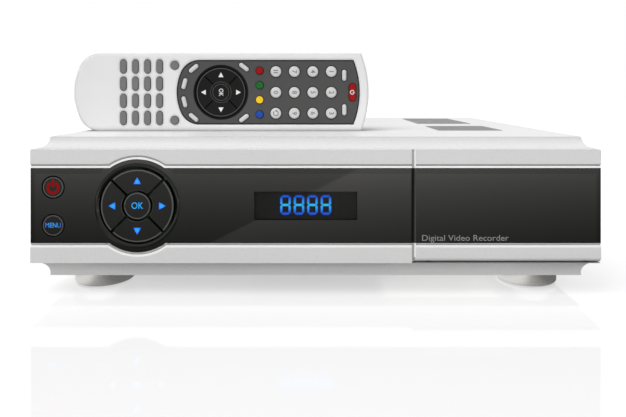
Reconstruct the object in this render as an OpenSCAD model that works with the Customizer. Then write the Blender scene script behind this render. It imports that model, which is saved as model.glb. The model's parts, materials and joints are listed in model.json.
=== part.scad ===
// Set-top digital video recorder with its remote control standing on the top cover.
// Millimetres, +Z up, +X to the right of the front. The front face looks along -Y.
// The origin is the centre of the footprint, on the floor under the feet.
// Depths are given as t, the distance behind the front face.

/* [Casing] */
// Width of the front face
face_w = 340; // [330:1:360]
// Height of the flat front face
face_h = 67.6; // [66:0.2:72]
// Width of the sheet-metal casing behind the face
body_w = 324; // [322:1:326]
// Height of the top cover above the floor
body_h = 93.8; // [93:0.2:98]
// Depth from the front face to the rear panel
body_d = 250; // [250:1:290]
// How far the rear connectors reach behind the rear panel
rear_reach = 11; // [11:0.5:14]

/* [Feet] */
// Height of the casing above the floor
foot_h = 9.4; // [8:0.2:9.6]
// Radius of a foot
foot_r = 18.5; // [14:0.5:19]
// Distance of the feet from the middle
foot_x = 136.5; // [120:0.5:140]
// Depth of the front feet's middle behind the front face
foot_t = 30.5; // [28:0.5:40]

/* [Front panel] */
// Height of the glossy black panel
panel_h = 44.8; // [44:0.2:46]
// Width of the groove between the black panel and the white strips
groove_w = 2.5; // [2:0.1:3]
// Depth of that groove
groove_d = 1.2; // [0.8:0.1:1.4]
// Where the fixed front ends and the door begins
split_x = 57.3; // [55:0.1:58]
// Centre of the navigation keys
nav_x = -106.4; // [-110:0.2:-100]
// Width of the display window
window_w = 61.2; // [58:0.2:64]
// Height of the display window
window_h = 16.8; // [15:0.2:18]
// Middle of the display window
window_x = -6; // [-10:0.5:0]

/* [Door] */
// Thickness of the door
door_t = 6; // [6:0.1:6.4]
// Radius of the hinge pins
pin_r = 0.9; // [0.8:0.05:1]

/* [Remote] */
// Length of the remote control
remote_l = 204.8; // [200:0.2:206]
// Width of the remote control
remote_w = 54; // [54:0.1:54.4]
// Thickness of the remote control over its keys
remote_thk = 24; // [24:0.5:26]
// Distance of the standing remote behind the front face
remote_t = 54; // [40:1:80]

/* [Hidden] */
$fn = 64;

far = 400;                      // longer than the object, for cuts that go right through
front_y = -(body_d + rear_reach) / 2;
sheet = 1;                      // thickness of the steel sheet
wall = 3;                       // thickness of the moulded front
belly_z = foot_h;
top_z = body_h;
half_face = face_w / 2;
half_body = body_w / 2;

top_cove_r = 7;
face_z1 = top_z - top_cove_r;
face_z0 = face_z1 - face_h;
bottom_cove_r = (pow(half_face - half_body, 2) + pow(face_z0 - belly_z, 2)) / (2 * (face_z0 - belly_z));
cove_ledge = 1;                 // flat step between the face and the cove above it
bezel_d = 22;                   // depth of the moulded front
bezel_skin_t = 5;               // back of the wall behind the black panel
rim_t = cove_ledge + top_cove_r + 1.2;

panel_mid = (face_z0 + face_z1) / 2 + 0.4;
panel_z0 = panel_mid - panel_h / 2;
panel_z1 = panel_mid + panel_h / 2;
panel_front = 0.3;
panel_back = 2.6;
nav_z = panel_mid - 0.2;
dish_r = 27.8;
nav_r = 21.8;
nav_hole_r = 24.2;
collar_r = 25.2;                // outside of the ring round the navigation keys
ok_r = 8;
round_key_r = 6.4;
round_key_hole = 6.9;
round_key_x = -156.5;
power_z = nav_z + 11.1;
menu_z = nav_z - 11.6;
key_stem_t = 5;                 // where the key stems end
switch_t = 5.95;                // where the push switches begin
board_t = 10;                   // front of the key board
board_thk = 1.6;

digit_h = 11.9;
digit_w = 6.4;
digit_pitch = 8.1;
segment = 1.4;

door_gap = 1.2;
door_x0 = split_x + door_gap;
door_chamfer = 1.3;
hinge_t = door_t / 2;
hinge_z = face_z0 + 0.35 + hinge_t;
door_top = face_z1 - 0.25;
ear_r = 1.8;
ear_w = 2.4;
ear_xs = [66, 160];
bay = [63, 166, 25, 81];        // opening behind the door: x from, x to, z from, z to
bay_back = 20;
card = [82.5, 137.5, 59, 65];   // channel of the card cage
eject = [142.5, 148.5, 60, 64];
eject_x = (eject[0] + eject[1]) / 2;
eject_z = (eject[2] + eject[3]) / 2;

board_z = 18;
inner_rear = body_d - sheet;
vent_x = [87.4, 130.6];
vent_pitch = 4;
vent_slot = 2.2;

inlet_x = -135;
rocker_x = -105;
mains_z = 30;
rocker_t = body_d - 0.5;
rocker_tilt = 10;
fan_x = -52;
fan_z = 54;
fan_half = 30;
rca_xs = [-5, 11];
rca_zs = [28, 45, 62];
rca_r = 4.15;
scart_x = 48;
scart_zs = [34, 58];
f_xs = [128, 146];
f_zs = [32, 58];
f_r = 4.76;

remote_x0 = -168;
remote_mid = remote_w / 2;
shell_face = remote_thk - 1;    // front of the remote's white shell
shell_split = 13;
mat_w0 = shell_face - 5.4;
mat_w1 = mat_w0 + 1.2;
cap_w0 = mat_w1 + 1.1;          // underside of the moving key caps
plate_w0 = shell_face - 1.4;
nav_u = 102;
key_gap = 0.35;
arc_cross = 0.05;               // makes neighbouring arcs of the outline cross instead of only touching

// ---------------------------------------------------------------- helpers

// A box from x0 to x1, t0 to t1 behind the face, z0 to z1
module block(x0, x1, t0, t1, z0, z1)
    translate([x0, front_y + t0, z0]) cube([x1 - x0, t1 - t0, z1 - z0]);

// A flat shape in the x-z plane, given thickness from t0 to t1
module plate(t0, t1)
    translate([0, front_y + t1, 0]) rotate([90, 0, 0]) linear_extrude(t1 - t0) children();

// A profile in the t-z plane, run along x
module bar(x0, x1)
    translate([x0, front_y, 0]) rotate([90, 0, 90]) linear_extrude(x1 - x0) children();

// A profile of radius against t, turned about an axis that runs straight back
module turned(x, z)
    translate([x, front_y, z]) rotate([-90, 0, 0]) rotate_extrude() children();

module rod(x, z, r, t0, t1)
    translate([x, front_y + t0, z]) rotate([-90, 0, 0]) cylinder(r = r, h = t1 - t0);

module cross_rod(x0, x1, t, z, r)
    translate([x0, front_y + t, z]) rotate([0, 90, 0]) cylinder(r = r, h = x1 - x0);

module post(x, t, r, z0, z1)
    translate([x, front_y + t, z0]) cylinder(r = r, h = z1 - z0);

module rect(x0, x1, y0, y1)
    translate([x0, y0]) square([x1 - x0, y1 - y0]);

// A slot with round ends, its long side along the first axis
module slot_2d(l, w) {
    square([l - w, w], center = true);
    for (s = [-1, 1]) translate([s * (l - w) / 2, 0]) circle(r = w / 2);
}

// The outline of a flat strip of thickness h that follows the points p
function strip(p, h) = concat(
    [for (i = [0 : len(p) - 1]) p[i] + strip_normal(p, i) * h / 2],
    [for (i = [len(p) - 1 : -1 : 0]) p[i] - strip_normal(p, i) * h / 2]);
function strip_normal(p, i) = let (
    a = p[max(i - 1, 0)], b = p[min(i + 1, len(p) - 1)], d = (b - a) / norm(b - a)) [-d[1], d[0]];

// ---------------------------------------------------------------- casing

module base_pan() color("gainsboro") {
    difference() {
        block(-half_body, half_body, bezel_d + 0.2, body_d, belly_z, belly_z + sheet);
        for (i = [0 : 11])
            translate([-50 + i * 9, front_y + 150, belly_z])
                rotate([0, 0, 90]) linear_extrude(far, center = true) slot_2d(50, 3);
    }
    for (s = [-1, 1])
        difference() {
            block(s * (half_body - 1.6) - 0.5, s * (half_body - 1.6) + 0.5, bezel_d + 2, inner_rear - 1,
                  belly_z + sheet, belly_z + 18);
            for (t = [60, 215]) cross_rod(-far, far, t, belly_z + 12.6, 1.3);
        }
    difference() {
        block(-half_body + 4, half_body - 4, inner_rear - 1.1, inner_rear - 0.1, belly_z + sheet, board_z - 0.5);
        rear_screw_holes();
    }
    for (p = board_holes()) difference() {
        post(p[0], p[1], 3, belly_z + sheet, board_z);
        post(p[0], p[1], 1.2, belly_z + sheet + 2, board_z + 1);
    }
}

function board_holes() = [
    [-16, 136], [60, 136], [150, 136], [-16, 226], [60, 226],
    [-150, 66], [-94, 66], [-150, 222], [-94, 222]];

module top_cover() color("whitesmoke") difference() {
    union() {
        block(-half_body, half_body, bezel_d + 0.2, body_d, top_z - sheet, top_z);
        block(-half_body + 1.2, half_body - 1.2, rim_t + 0.2, bezel_d + 0.3, top_z - sheet, top_z);
        for (s = [-1, 1])
            block(s * (half_body - 0.5) - 0.5, s * (half_body - 0.5) + 0.5, bezel_d + 0.2, body_d,
                  belly_z + sheet + 0.2, top_z - sheet);
        for (x = [-152, 3, 152])
            block(x - 6, x + 6, inner_rear - 1.1, inner_rear - 0.1, 76, top_z - sheet);
    }
    rear_screw_holes();
    for (v = [[60.5, 105], [139.5, 220]]) vent(v[0], v[1]);
    for (i = [0 : 19])
        translate([0, front_y + 66 + i * 6, 52]) rotate([0, 90, 0])
            linear_extrude(far, center = true) slot_2d(36, 2.4);
    for (t = [60, 215]) cross_rod(-far, far, t, belly_z + 12.6, 1.6);
}

// One ventilation panel: a row of slots across the cover
module vent(t0, t1) {
    n = floor((t1 - t0) / vent_pitch);
    for (i = [0 : n - 1])
        translate([(vent_x[0] + vent_x[1]) / 2, front_y + t0 + (i + 0.5) * vent_pitch, top_z])
            linear_extrude(10, center = true) slot_2d(vent_x[1] - vent_x[0], vent_slot);
}

module rear_panel() color("silver") difference() {
    block(-half_body + 1.2, half_body - 1.2, inner_rear, body_d, belly_z + sheet + 0.2, top_z - sheet - 0.2);
    for (x = [-25 : 5 : 25])
        translate([fan_x + x, front_y + body_d, fan_z]) rotate([90, 90, 0])
            linear_extrude(10, center = true) slot_2d(2 * sqrt(27 * 27 - x * x) + 2, 3);
    for (i = [0 : 6])
        translate([82 + i * 5, front_y + body_d, 66]) rotate([90, 90, 0])
            linear_extrude(10, center = true) slot_2d(30, 2.4);
    block(inlet_x - 12.2, inlet_x + 12.2, 240, far, mains_z - 9.2, mains_z + 9.2);
    block(rocker_x - 6.7, rocker_x + 6.7, 240, far, mains_z - 9.7, mains_z + 9.7);
    for (x = rca_xs, z = rca_zs) rod(x, z, 5.4, 240, 260);
    for (z = scart_zs) plate(240, 260) translate([scart_x, z]) scart_2d(0.15);
    hdmi_box(0.15, 240, 260);
    network_box(0.15, 240, 260);
    for (x = f_xs, z = f_zs) rod(x, z, f_r + 0.15, 240, 260);
    rear_screw_holes();
}

function rear_screws() = concat(
    [for (sx = [-1, 1], sz = [-1, 1]) [fan_x + sx * 25, fan_z + sz * 25]],
    [[-152, 86], [3, 80], [152, 86], [3, 14]]);
module rear_screw_holes() for (p = rear_screws()) rod(p[0], p[1], 1.6, 230, 260);

// ---------------------------------------------------------------- moulded front

module front_bezel() color("white") {
    difference() {
        block(-half_face, half_face, 0, bezel_d, belly_z, top_z);
        top_cove();
        bottom_cove();
        bezel_hollow();
        block(split_x, far, -1, door_t + 0.3, face_z0, face_z1);
        block(bay[0], bay[1], 0, far, bay[2], bay[3]);
        plate(-1, panel_back) fascia_2d(0);
        panel_grooves(-far, split_x + 0.1);
        turned(nav_x, nav_z) groove_profile(dish_r);
        rod(nav_x, nav_z, nav_hole_r + 0.1, 0, 10);
        for (z = [power_z, menu_z]) rod(round_key_x, z, round_key_hole, 0, 10);
        block(window_x - window_w / 2 - 0.6, window_x + window_w / 2 + 0.6, 0, 10,
              nav_z - window_h / 2 - 0.6, nav_z + window_h / 2 + 0.6);
        block(-half_body + 1, half_body - 1, rim_t, far, top_z - sheet - 0.1, far);
    }
    for (p = key_board_screws()) difference() {
        rod(p[0], p[1], 2.6, bezel_skin_t - 0.1, board_t);
        rod(p[0], p[1], 1.1, bezel_skin_t + 0.5, far);
    }
    for (x = [-120, 0, 120]) block(x - 8, x + 8, bezel_d - 3, bezel_d + 12, belly_z + sheet, belly_z + sheet + 2);
    for (x = ear_xs) difference() {
        union() {
            cross_rod(x, x + ear_w, hinge_t, hinge_z, ear_r);
            block(x, x + ear_w, hinge_t, door_t + 0.4, hinge_z - ear_r, hinge_z + ear_r);
        }
        cross_rod(x - 1, x + ear_w + 1, hinge_t, hinge_z, pin_r + 0.05);
    }
}

// Concave moulding between the face and the top of the casing
module top_cove() {
    side = half_body + top_cove_r;
    cross_rod(-far, far, cove_ledge, top_z, top_cove_r);
    block(-far, far, -1, cove_ledge, face_z1, far);
    for (s = [-1, 1]) rod(s * side, top_z, top_cove_r, -1, far);
    block(side, far, -1, far, face_z1, far);
    block(-far, -side, -1, far, face_z1, far);
}

// The moulding below the face, which ends where the bottom meets the sides of the casing
module bottom_cove() {
    z = face_z0 - bottom_cove_r;
    cross_rod(-far, far, 0, z, bottom_cove_r);
    for (s = [-1, 1]) rod(s * half_face, z, bottom_cove_r, -1, far);
}

module bezel_hollow() {
    x = half_body - wall;
    block(-half_face + wall, split_x - wall, bezel_skin_t, bezel_d - wall, face_z0 + wall, face_z1 - wall);
    block(-x, split_x - wall, bezel_skin_t, far, face_z0 + wall, face_z1 - wall);
    block(-x, x, 12, far, face_z1 - wall - 0.5, top_z - sheet - wall);
    block(-x, x, 13, far, belly_z + wall - 0.5, face_z0 + wall + 0.5);
}

module fascia_2d(gap) {
    rect(-half_face, split_x, panel_z0 + gap, panel_z1 - gap);
    translate([nav_x, nav_z]) circle(r = dish_r - gap);
}

// The groove's cut, from r outwards; it is shallow at the panel and level with the face outside
module groove_profile(r)
    polygon([[r, -1], [r, panel_front], [r + groove_w * 0.52, groove_d], [r + groove_w, 0], [r + groove_w, -1]]);

module panel_grooves(x0, x1) {
    bar(x0, x1) translate([0, panel_z1]) groove_bar_2d();
    bar(x0, x1) translate([0, panel_z0]) mirror([0, 1]) groove_bar_2d();
}
module groove_bar_2d()
    polygon([[-1, 0], [panel_front, 0], [groove_d, groove_w * 0.52], [0, groove_w], [-1, groove_w]]);

module fascia_panel() color("#2b2b2b") difference() {
    plate(panel_front, panel_back) fascia_2d(0.05);
    rod(nav_x, nav_z, collar_r + 0.1, -1, 1.2);
    rod(nav_x, nav_z, nav_hole_r, -1, 5);
    for (z = [power_z, menu_z]) rod(round_key_x, z, round_key_hole, -1, 5);
    block(window_x - window_w / 2, window_x + window_w / 2, -1, 5, nav_z - window_h / 2, nav_z + window_h / 2);
}

// Dished ring around the navigation keys
module nav_surround() color("#333333")
    turned(nav_x, nav_z)
        polygon([[collar_r, 0.4], [collar_r - 0.5, 0.1], [nav_hole_r - 0.1, 0.05], [22.9, 0.9], [22.9, 6],
                 [nav_hole_r - 0.1, 6], [nav_hole_r - 0.1, 1.2], [collar_r, 1.2]]);

// ---------------------------------------------------------------- display

module display_window() color("dimgray", 0.4)
    block(window_x - window_w / 2 + 0.1, window_x + window_w / 2 - 0.1, 1.3, 2.5,
          nav_z - window_h / 2 + 0.1, nav_z + window_h / 2 - 0.1);

module display_module() color("#101010")
    block(window_x - window_w / 2 - 0.4, window_x + window_w / 2 + 0.4, 3.2, board_t,
          nav_z - window_h / 2 - 0.4, nav_z + window_h / 2 + 0.4);

module display_digits() color("deepskyblue")
    plate(2.9, 3.2) translate([window_x, nav_z]) for (i = [0 : 3])
        translate([(i - 1.5) * digit_pitch, 0]) digit_2d();

// Seven separate bars with pointed ends
module digit_2d() {
    half_w = (digit_w - segment) / 2;
    half_h = (digit_h - segment) / 2;
    for (z = [-half_h, 0, half_h]) translate([0, z]) bar_2d(2 * half_w);
    for (x = [-half_w, half_w], z = [-half_h / 2, half_h / 2])
        translate([x, z]) rotate(90) bar_2d(half_h);
}
module bar_2d(l) {
    a = l / 2 - 0.15;
    b = segment / 2;
    polygon([[-a, 0], [-a + b, b], [a - b, b], [a, 0], [a - b, -b], [-a + b, -b]]);
}

// ---------------------------------------------------------------- front keys

module round_key(z) {
    turned(round_key_x, z)
        polygon([[0, 0.2], [5.5, 0.25], [round_key_r, 0.9], [round_key_r, 3.6], [0, 3.6]]);
    rod(round_key_x, z, 2.5, 3.6, key_stem_t);
}
module power_button() color("#242424") round_key(power_z);
module menu_button() color("#242424") round_key(menu_z);

// A quarter of the navigation ring; angle 0 is the upper one
module nav_key(angle) {
    intersection() {
        turned(nav_x, nav_z)
            polygon([[9.2, 1.2], [9.9, 0.5], [20.8, 0.25], [nav_r, 1], [nav_r, 3.6], [9.2, 3.6]]);
        plate(-1, 5) translate([nav_x, nav_z]) rotate(angle)
            polygon([[0, 0.85], [nav_r * 1.5, nav_r * 1.5 + 0.85], [-nav_r * 1.5, nav_r * 1.5 + 0.85]]);
    }
    rod(nav_x - 15.3 * sin(angle), nav_z + 15.3 * cos(angle), 2.5, 3.6, key_stem_t);
}
module up_key() color("#242424") nav_key(0);
module left_key() color("#242424") nav_key(90);
module down_key() color("#242424") nav_key(180);
module right_key() color("#242424") nav_key(270);

module ok_button() color("#242424") {
    turned(nav_x, nav_z) polygon([[0, 0.2], [7.1, 0.3], [ok_r, 1], [ok_r, 3.6], [0, 3.6]]);
    rod(nav_x, nav_z, 2.5, 3.6, key_stem_t);
}

function key_places() = concat(
    [for (a = [0 : 90 : 270]) [nav_x - 15.3 * sin(a), nav_z + 15.3 * cos(a)]],
    [[nav_x, nav_z], [round_key_x, power_z], [round_key_x, menu_z]]);

function key_board_screws() = [for (x = [-140, -60, 34], dz = [-17.5, 17.5]) [x, nav_z + dz]];

// Circuit board behind the keys, with one push switch for each
module key_board() color("darkgreen") {
    difference() {
        block(-165, 40, board_t, board_t + board_thk, nav_z - 22, nav_z + 22);
        for (p = key_board_screws()) rod(p[0], p[1], 1.4, 0, 20);
    }
    block(-12, 24, board_t + board_thk, board_t + board_thk + 2.4, 33, 37);
    for (p = key_places()) {
        block(p[0] - 3, p[0] + 3, 6.6, board_t, p[1] - 3, p[1] + 3);
        rod(p[0], p[1], 1.75, switch_t, 6.6);
    }
}

// ---------------------------------------------------------------- door

module door_edge_cut(z0, z1)
    translate([door_x0, front_y, z0]) linear_extrude(z1 - z0)
        polygon([[-1, -1], [door_chamfer + 1, -1], [-1, door_chamfer + 1]]);

module door_frame() color("white") {
    difference() {
        union() {
            block(door_x0, half_face, 0, door_t, hinge_z, door_top);
            cross_rod(door_x0, half_face, hinge_t, hinge_z, hinge_t);
        }
        door_edge_cut(0, far);
        panel_grooves(door_x0 - 1, far);
        block(door_x0 - 1, far, -1, panel_back, panel_z0, panel_z1);
        block(door_x0 + 3, half_face - 3, door_t - 1.6, far, panel_z0 + 2, panel_z1 - 8);
        bar(door_x0 - 1, far) polygon([[door_t - 1, door_top + 0.1], [door_t + 1, door_top + 0.1],
                                       [door_t + 1, door_top - 1.9]]);
        for (x = ear_xs) {
            cross_rod(x - 0.4, x + ear_w + 0.4, hinge_t, hinge_z, ear_r + 0.3);
            block(x - 0.4, x + ear_w + 0.4, hinge_t, far, 0, hinge_z + ear_r + 0.3);
            block(x - 0.4, x + ear_w + 0.4, hinge_t - ear_r - 0.3, far, 0, hinge_z);
            cross_rod(x - 5, x + ear_w + 5, hinge_t, hinge_z, pin_r + 0.01);
        }
    }
    block(113, 117, door_t, 11, 75, 76.4);
    block(113, 117, 11, 12, 74.6, 76.4);
}

module door_panel() color("#2b2b2b") difference() {
    block(door_x0, half_face, panel_front, panel_back, panel_z0 + 0.05, panel_z1 - 0.05);
    door_edge_cut(0, far);
}

module door_pins() color("silver")
    for (x = ear_xs) cross_rod(x - 4.9, x + ear_w + 4.9, hinge_t, hinge_z, pin_r);

// Catch that holds the striker on the back of the closed door
module door_catch() color("dimgray") difference() {
    block(110, 120, 9.5, 17, 73, bay[3] - 1.6);
    block(112.4, 117.6, 9, 14.2, 74, 77.8);
}

// Moulded liner of the recess behind the door
module card_bay() color("#303030") difference() {
    block(bay[0] + 0.1, bay[1] - 0.1, door_t + 0.4, bay_back, bay[2] + 0.1, bay[3] - 0.1);
    block(bay[0] + 1.6, bay[1] - 1.6, 0, bay_back - 1.5, bay[2] + 1.6, bay[3] - 1.6);
    block(card[0], card[1], 0, far, card[2], card[3]);
    block(card[0], card[1], 0, far, 41, 43.4);
    block(eject[0] - 0.3, eject[1] + 0.3, 0, far, eject[2] - 0.3, eject[3] + 0.3);
    block(145, 159, 0, far, 38, 44);
}

// Cage of the card module above the smart-card reader, and the front data socket beside them
module card_cages() color("silver") {
    difference() {
        union() {
            block(card[0] - 2, card[1] + 2, bay_back, 108, card[2] - 1.5, card[3] + 1.5);
            for (t = [32, 60]) block(card[1] + 1, card[1] + 12, t, t + 2, card[2], card[3]);
        }
        block(card[0], card[1], 0, 105, card[2], card[3]);
        rod(eject_x, eject_z, 1.25, 20, 80);
    }
    difference() {
        block(card[0] - 1.5, card[1] + 1.5, bay_back, 75, 38.5, 45.5);
        block(card[0], card[1], 0, 70, 41, 43.4);
    }
    difference() {
        block(145.1, 158.9, bay_back - 1.4, 36, 38.1, 43.9);
        block(145.8, 158.2, 0, 32, 38.8, 43.2);
    }
    block(146.5, 157.5, bay_back, 33, 40, 41.8);
}

module eject_button() color("gray") {
    block(eject[0], eject[1], 13.5, 23, eject[2], eject[3]);
    rod(eject_x, eject_z, 1.2, 23, 70);
}

// ---------------------------------------------------------------- inside

module main_board() color("darkgreen") {
    difference() {
        block(-20, 156, 130, 247, board_z, board_z + board_thk);
        for (p = board_holes()) post(p[0], p[1], 1.6, 0, far);
    }
    top = board_z + board_thk;
    block(38, 70, 158, 189, top, top + 2.4);
    for (i = [0 : 7]) block(38, 70, 158 + i * 4.2, 159.4 + i * 4.2, top + 2.4, top + 18);
    for (i = [0 : 3]) block(80, 92, 150 + i * 16, 160 + i * 16, top, top + 1.2);
    for (i = [0 : 4]) post(-8 + i * 9, 215, 3.2, top, top + 11);
    block(-12, 24, 133, 139, top, top + 7);
}

module power_board() color("burlywood") {
    top = board_z + board_thk;
    difference() {
        block(-156, -88, 60, 228, board_z, top);
        for (p = board_holes()) post(p[0], p[1], 1.6, 0, far);
    }
    post(-138, 190, 9, top, top + 30);
    post(-115, 196, 6, top, top + 20);
    for (i = [0 : 3]) post(-146 + i * 15, 84, 5, top, top + 18);
    for (x = [-152, -96]) block(x, x + 2, 104, 160, top, top + 36);
}

module power_transformer() color("goldenrod") {
    top = board_z + board_thk;
    block(-142, -106, 112, 148, top, top + 7);
    block(-142, -106, 112, 148, top + 24, top + 31);
    block(-142, -134, 112, 148, top + 7, top + 24);
    block(-114, -106, 112, 148, top + 7, top + 24);
    translate([-124, front_y + 130, top + 7]) cylinder(r = 9, h = 17);
}

module hard_drive() color("slategray") {
    difference() {
        block(-82, 65, 26, 127.6, 40, 64);
        for (x = [-56, 20]) cross_slot(x);
    }
    block(-79, 62, 29, 124.6, 64, 66.1);
    post(20, 76, 8, 66.1, 66.9);
}
// Shallow finger recess in the side of the drive
module cross_slot(x) block(x, x + 20, 120, 130, 46, 58);

module drive_bracket() color("silver") {
    for (x = [-83.4, 65.2]) block(x, x + 1.2, 30, 124, belly_z + sheet, 62);
    block(-82.2, 65.2, 30, 124, 38.8, 40);
    for (x = [-95.4, 54.4]) block(x, x + 12, 40, 60, belly_z + sheet, belly_z + sheet + 1.2);
}

module tuner_cans() color("silver") {
    block(119, 154, 190, 244, board_z + board_thk, 44);
    block(119, 154, 190, 244, 46, 70);
    for (x = [121, 150]) block(x, x + 1.5, 200, 202, 44, 46);
}

module ribbon_cable() color("lightgray")
    bar(-10, 22) polygon(strip(
        [[12.8, 32.9], [12.9, 30], [14.8, 27.6], [20, 26.4], [60, 28], [110, 30], [126, 30],
         [132, 29.5], [135.5, 28.6], [136, 26.7]], 0.8));

module board_screws() color("silver") {
    for (p = board_holes()) {
        post(p[0], p[1], 3, board_z + board_thk, board_z + board_thk + 2);
        post(p[0], p[1], 1.15, board_z - 4, board_z + board_thk);
    }
    for (p = key_board_screws()) {
        rod(p[0], p[1], 2.3, board_t + board_thk, board_t + board_thk + 1.6);
        rod(p[0], p[1], 1.05, board_t - 3, board_t + board_thk);
    }
}

// ---------------------------------------------------------------- fan

module fan_frame() color("#202020") difference() {
    union() {
        difference() {
            block(fan_x - fan_half, fan_x + fan_half, inner_rear - 15, inner_rear, fan_z - fan_half, fan_z + fan_half);
            rod(fan_x, fan_z, 28.5, 200, 260);
        }
        rod(fan_x, fan_z, 13, inner_rear - 15, inner_rear - 12.8);
        rod(fan_x, fan_z, 3, inner_rear - 12.8, inner_rear - 9);
        for (a = [45 : 90 : 315])
            translate([fan_x, front_y + inner_rear - 15, fan_z]) rotate([0, a, 0])
                translate([12, 0, -1.5]) cube([18, 2.2, 3]);
    }
    rod(fan_x, fan_z, 1.55, 200, 260);
    for (sx = [-1, 1], sz = [-1, 1]) rod(fan_x + sx * 25, fan_z + sz * 25, 1.6, 200, 260);
}

module fan_rotor() color("#202020") {
    rod(fan_x, fan_z, 14, inner_rear - 8.6, inner_rear - 1.5);
    rod(fan_x, fan_z, 1.5, inner_rear - 14.5, inner_rear - 8);
    for (i = [0 : 6])
        translate([fan_x, front_y + inner_rear - 5.6, fan_z]) rotate([0, i * 360 / 7, 0])
            translate([13, 0, 0]) rotate([42, 0, 0]) translate([0, -0.6, -4.6]) cube([14.2, 1.2, 9.2]);
}

// ---------------------------------------------------------------- rear sockets

module mains_inlet() color("#181818") difference() {
    union() {
        block(inlet_x - 14.5, inlet_x + 14.5, body_d, body_d + 2, mains_z - 11, mains_z + 11);
        block(inlet_x - 12, inlet_x + 12, body_d - 17, body_d, mains_z - 9, mains_z + 9);
    }
    for (s = [-1, 1]) difference() {
        rod(inlet_x + s * 4.3, mains_z, 4.2, body_d - 11, body_d + 3);
        rod(inlet_x + s * 4.3, mains_z, 1.2, body_d - 12, body_d + 0.5);
    }
}

module mains_switch() color("#181818") {
    difference() {
        union() {
            block(rocker_x - 8, rocker_x + 8, body_d, body_d + 2, mains_z - 11.5, mains_z + 11.5);
            block(rocker_x - 6.5, rocker_x + 6.5, body_d - 15, body_d, mains_z - 9.5, mains_z + 9.5);
        }
        block(rocker_x - 5, rocker_x + 5, body_d - 9, far, mains_z - 8, mains_z + 8);
    }
    cross_rod(rocker_x - 5, rocker_x + 5, rocker_t, mains_z, 1);
}

module mains_rocker() color("#222222") difference() {
    translate([rocker_x - 4.8, front_y + rocker_t, mains_z]) rotate([rocker_tilt, 0, 0])
        rotate([90, 0, 90]) linear_extrude(9.6)
            polygon([[-5, -3], [-1.5, -7.2], [3.4, -7], [2.4, 0], [3.4, 7], [-1.5, 7.2], [-5, 3]]);
    cross_rod(-far, far, rocker_t, mains_z, 1.05);
}

module f_connectors() color("silver") for (x = f_xs, z = f_zs) difference() {
    union() {
        rod(x, z, f_r, body_d - 6, body_d + rear_reach);
        translate([x, front_y + body_d, z]) rotate([-90, 0, 0]) cylinder(r = 7, h = 2, $fn = 6);
    }
    rod(x, z, 0.8, body_d + 1, body_d + rear_reach + 1);
}

// Slanted-sided outline of a 21-way audio and video socket
module scart_2d(grow) {
    w = 22.5 + grow;
    h = 7.5 + grow;
    polygon([[-w, -h], [w - 5, -h], [w, -h + 5], [w, h], [-w, h]]);
}

module scart_sockets() color("#1c1c1c") difference() {
    union() {
        for (z = scart_zs) plate(body_d - 14, body_d + 2) translate([scart_x, z]) scart_2d(0);
        block(scart_x - 24, scart_x + 24, body_d - 14, inner_rear - 0.1, board_z + board_thk, 67);
    }
    for (z = scart_zs) {
        difference() {
            plate(body_d - 8, body_d + 3) translate([scart_x, z]) scart_2d(-1.3);
            plate(body_d - 9, body_d + 1.6) translate([scart_x, z]) scart_2d(-3.3);
        }
        for (row = [-1, 1], i = [-4.5 : 4.5])
            block(scart_x + i * 3.8 - 0.5, scart_x + i * 3.8 + 0.5, body_d - 6, body_d + 3,
                  z + row * 2 - 0.9, z + row * 2 + 0.9);
    }
}

module rca_sockets() color("#262626") {
    block(-13, 19, body_d - 12, inner_rear - 0.1, board_z + board_thk, 70);
    for (x = rca_xs, z = rca_zs) difference() {
        union() {
            rod(x, z, 5.2, inner_rear - 0.1, body_d + 1.4);
            rod(x, z, rca_r, body_d + 1.4, body_d + 9);
        }
        rod(x, z, 1.7, body_d + 1, body_d + 10);
    }
}

module hdmi_box(grow, t0, t1)
    block(78 - grow, 93 + grow, t0, t1, board_z + board_thk - grow, 26 + grow);

module hdmi_socket() color("silver") {
    difference() {
        hdmi_box(0, body_d - 11, body_d + 1.2);
        block(78.6, 92.4, body_d - 9, far, 20.4, 25.4);
    }
    block(80, 91, body_d - 9.5, body_d + 0.4, 22.3, 23.5);
}

module network_box(grow, t0, t1)
    block(98 - grow, 114 + grow, t0, t1, board_z + board_thk - grow, 33 + grow);

module network_socket() color("silver") difference() {
    network_box(0, body_d - 20, body_d + 1.2);
    block(100, 112, body_d - 11.5, far, 22, 30.4);
    block(103, 109, body_d - 11.5, far, 30, 32);
}

// ---------------------------------------------------------------- feet and screws

function foot_places() = [for (x = [-foot_x, foot_x], t = [foot_t, 215]) [x, t]];

module feet() color("silver") for (p = foot_places())
    translate([p[0], front_y + p[1], 0]) rotate_extrude()
        polygon([[14.2, 0.6], [foot_r - 1.1, 0.6], [foot_r, 1.7], [foot_r, foot_h], [0, foot_h], [0, 2.6], [14.2, 2.6]]);

module foot_pads() color("#303030") for (p = foot_places()) post(p[0], p[1], 14, 0, 2.6);

module case_screws() color("silver") {
    for (s = [-1, 1], t = [60, 215]) {
        x = s * half_body;
        cross_rod(min(x, x + s * 2), max(x, x + s * 2), t, belly_z + 12.6, 3.2);
        cross_rod(min(x, x - s * 5), max(x, x - s * 5), t, belly_z + 12.6, 1.25);
    }
    for (p = rear_screws()) {
        rod(p[0], p[1], 3, body_d, body_d + 1.8);
        rod(p[0], p[1], 1.5, body_d - 5, body_d);
    }
}

// ---------------------------------------------------------------- remote control
// Drawn lying on its back: u along its length, v across it, w up towards the keys.

module remote_place()
    translate([remote_x0, front_y + remote_t + remote_thk, top_z]) rotate([90, 0, 0]) children();

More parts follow.
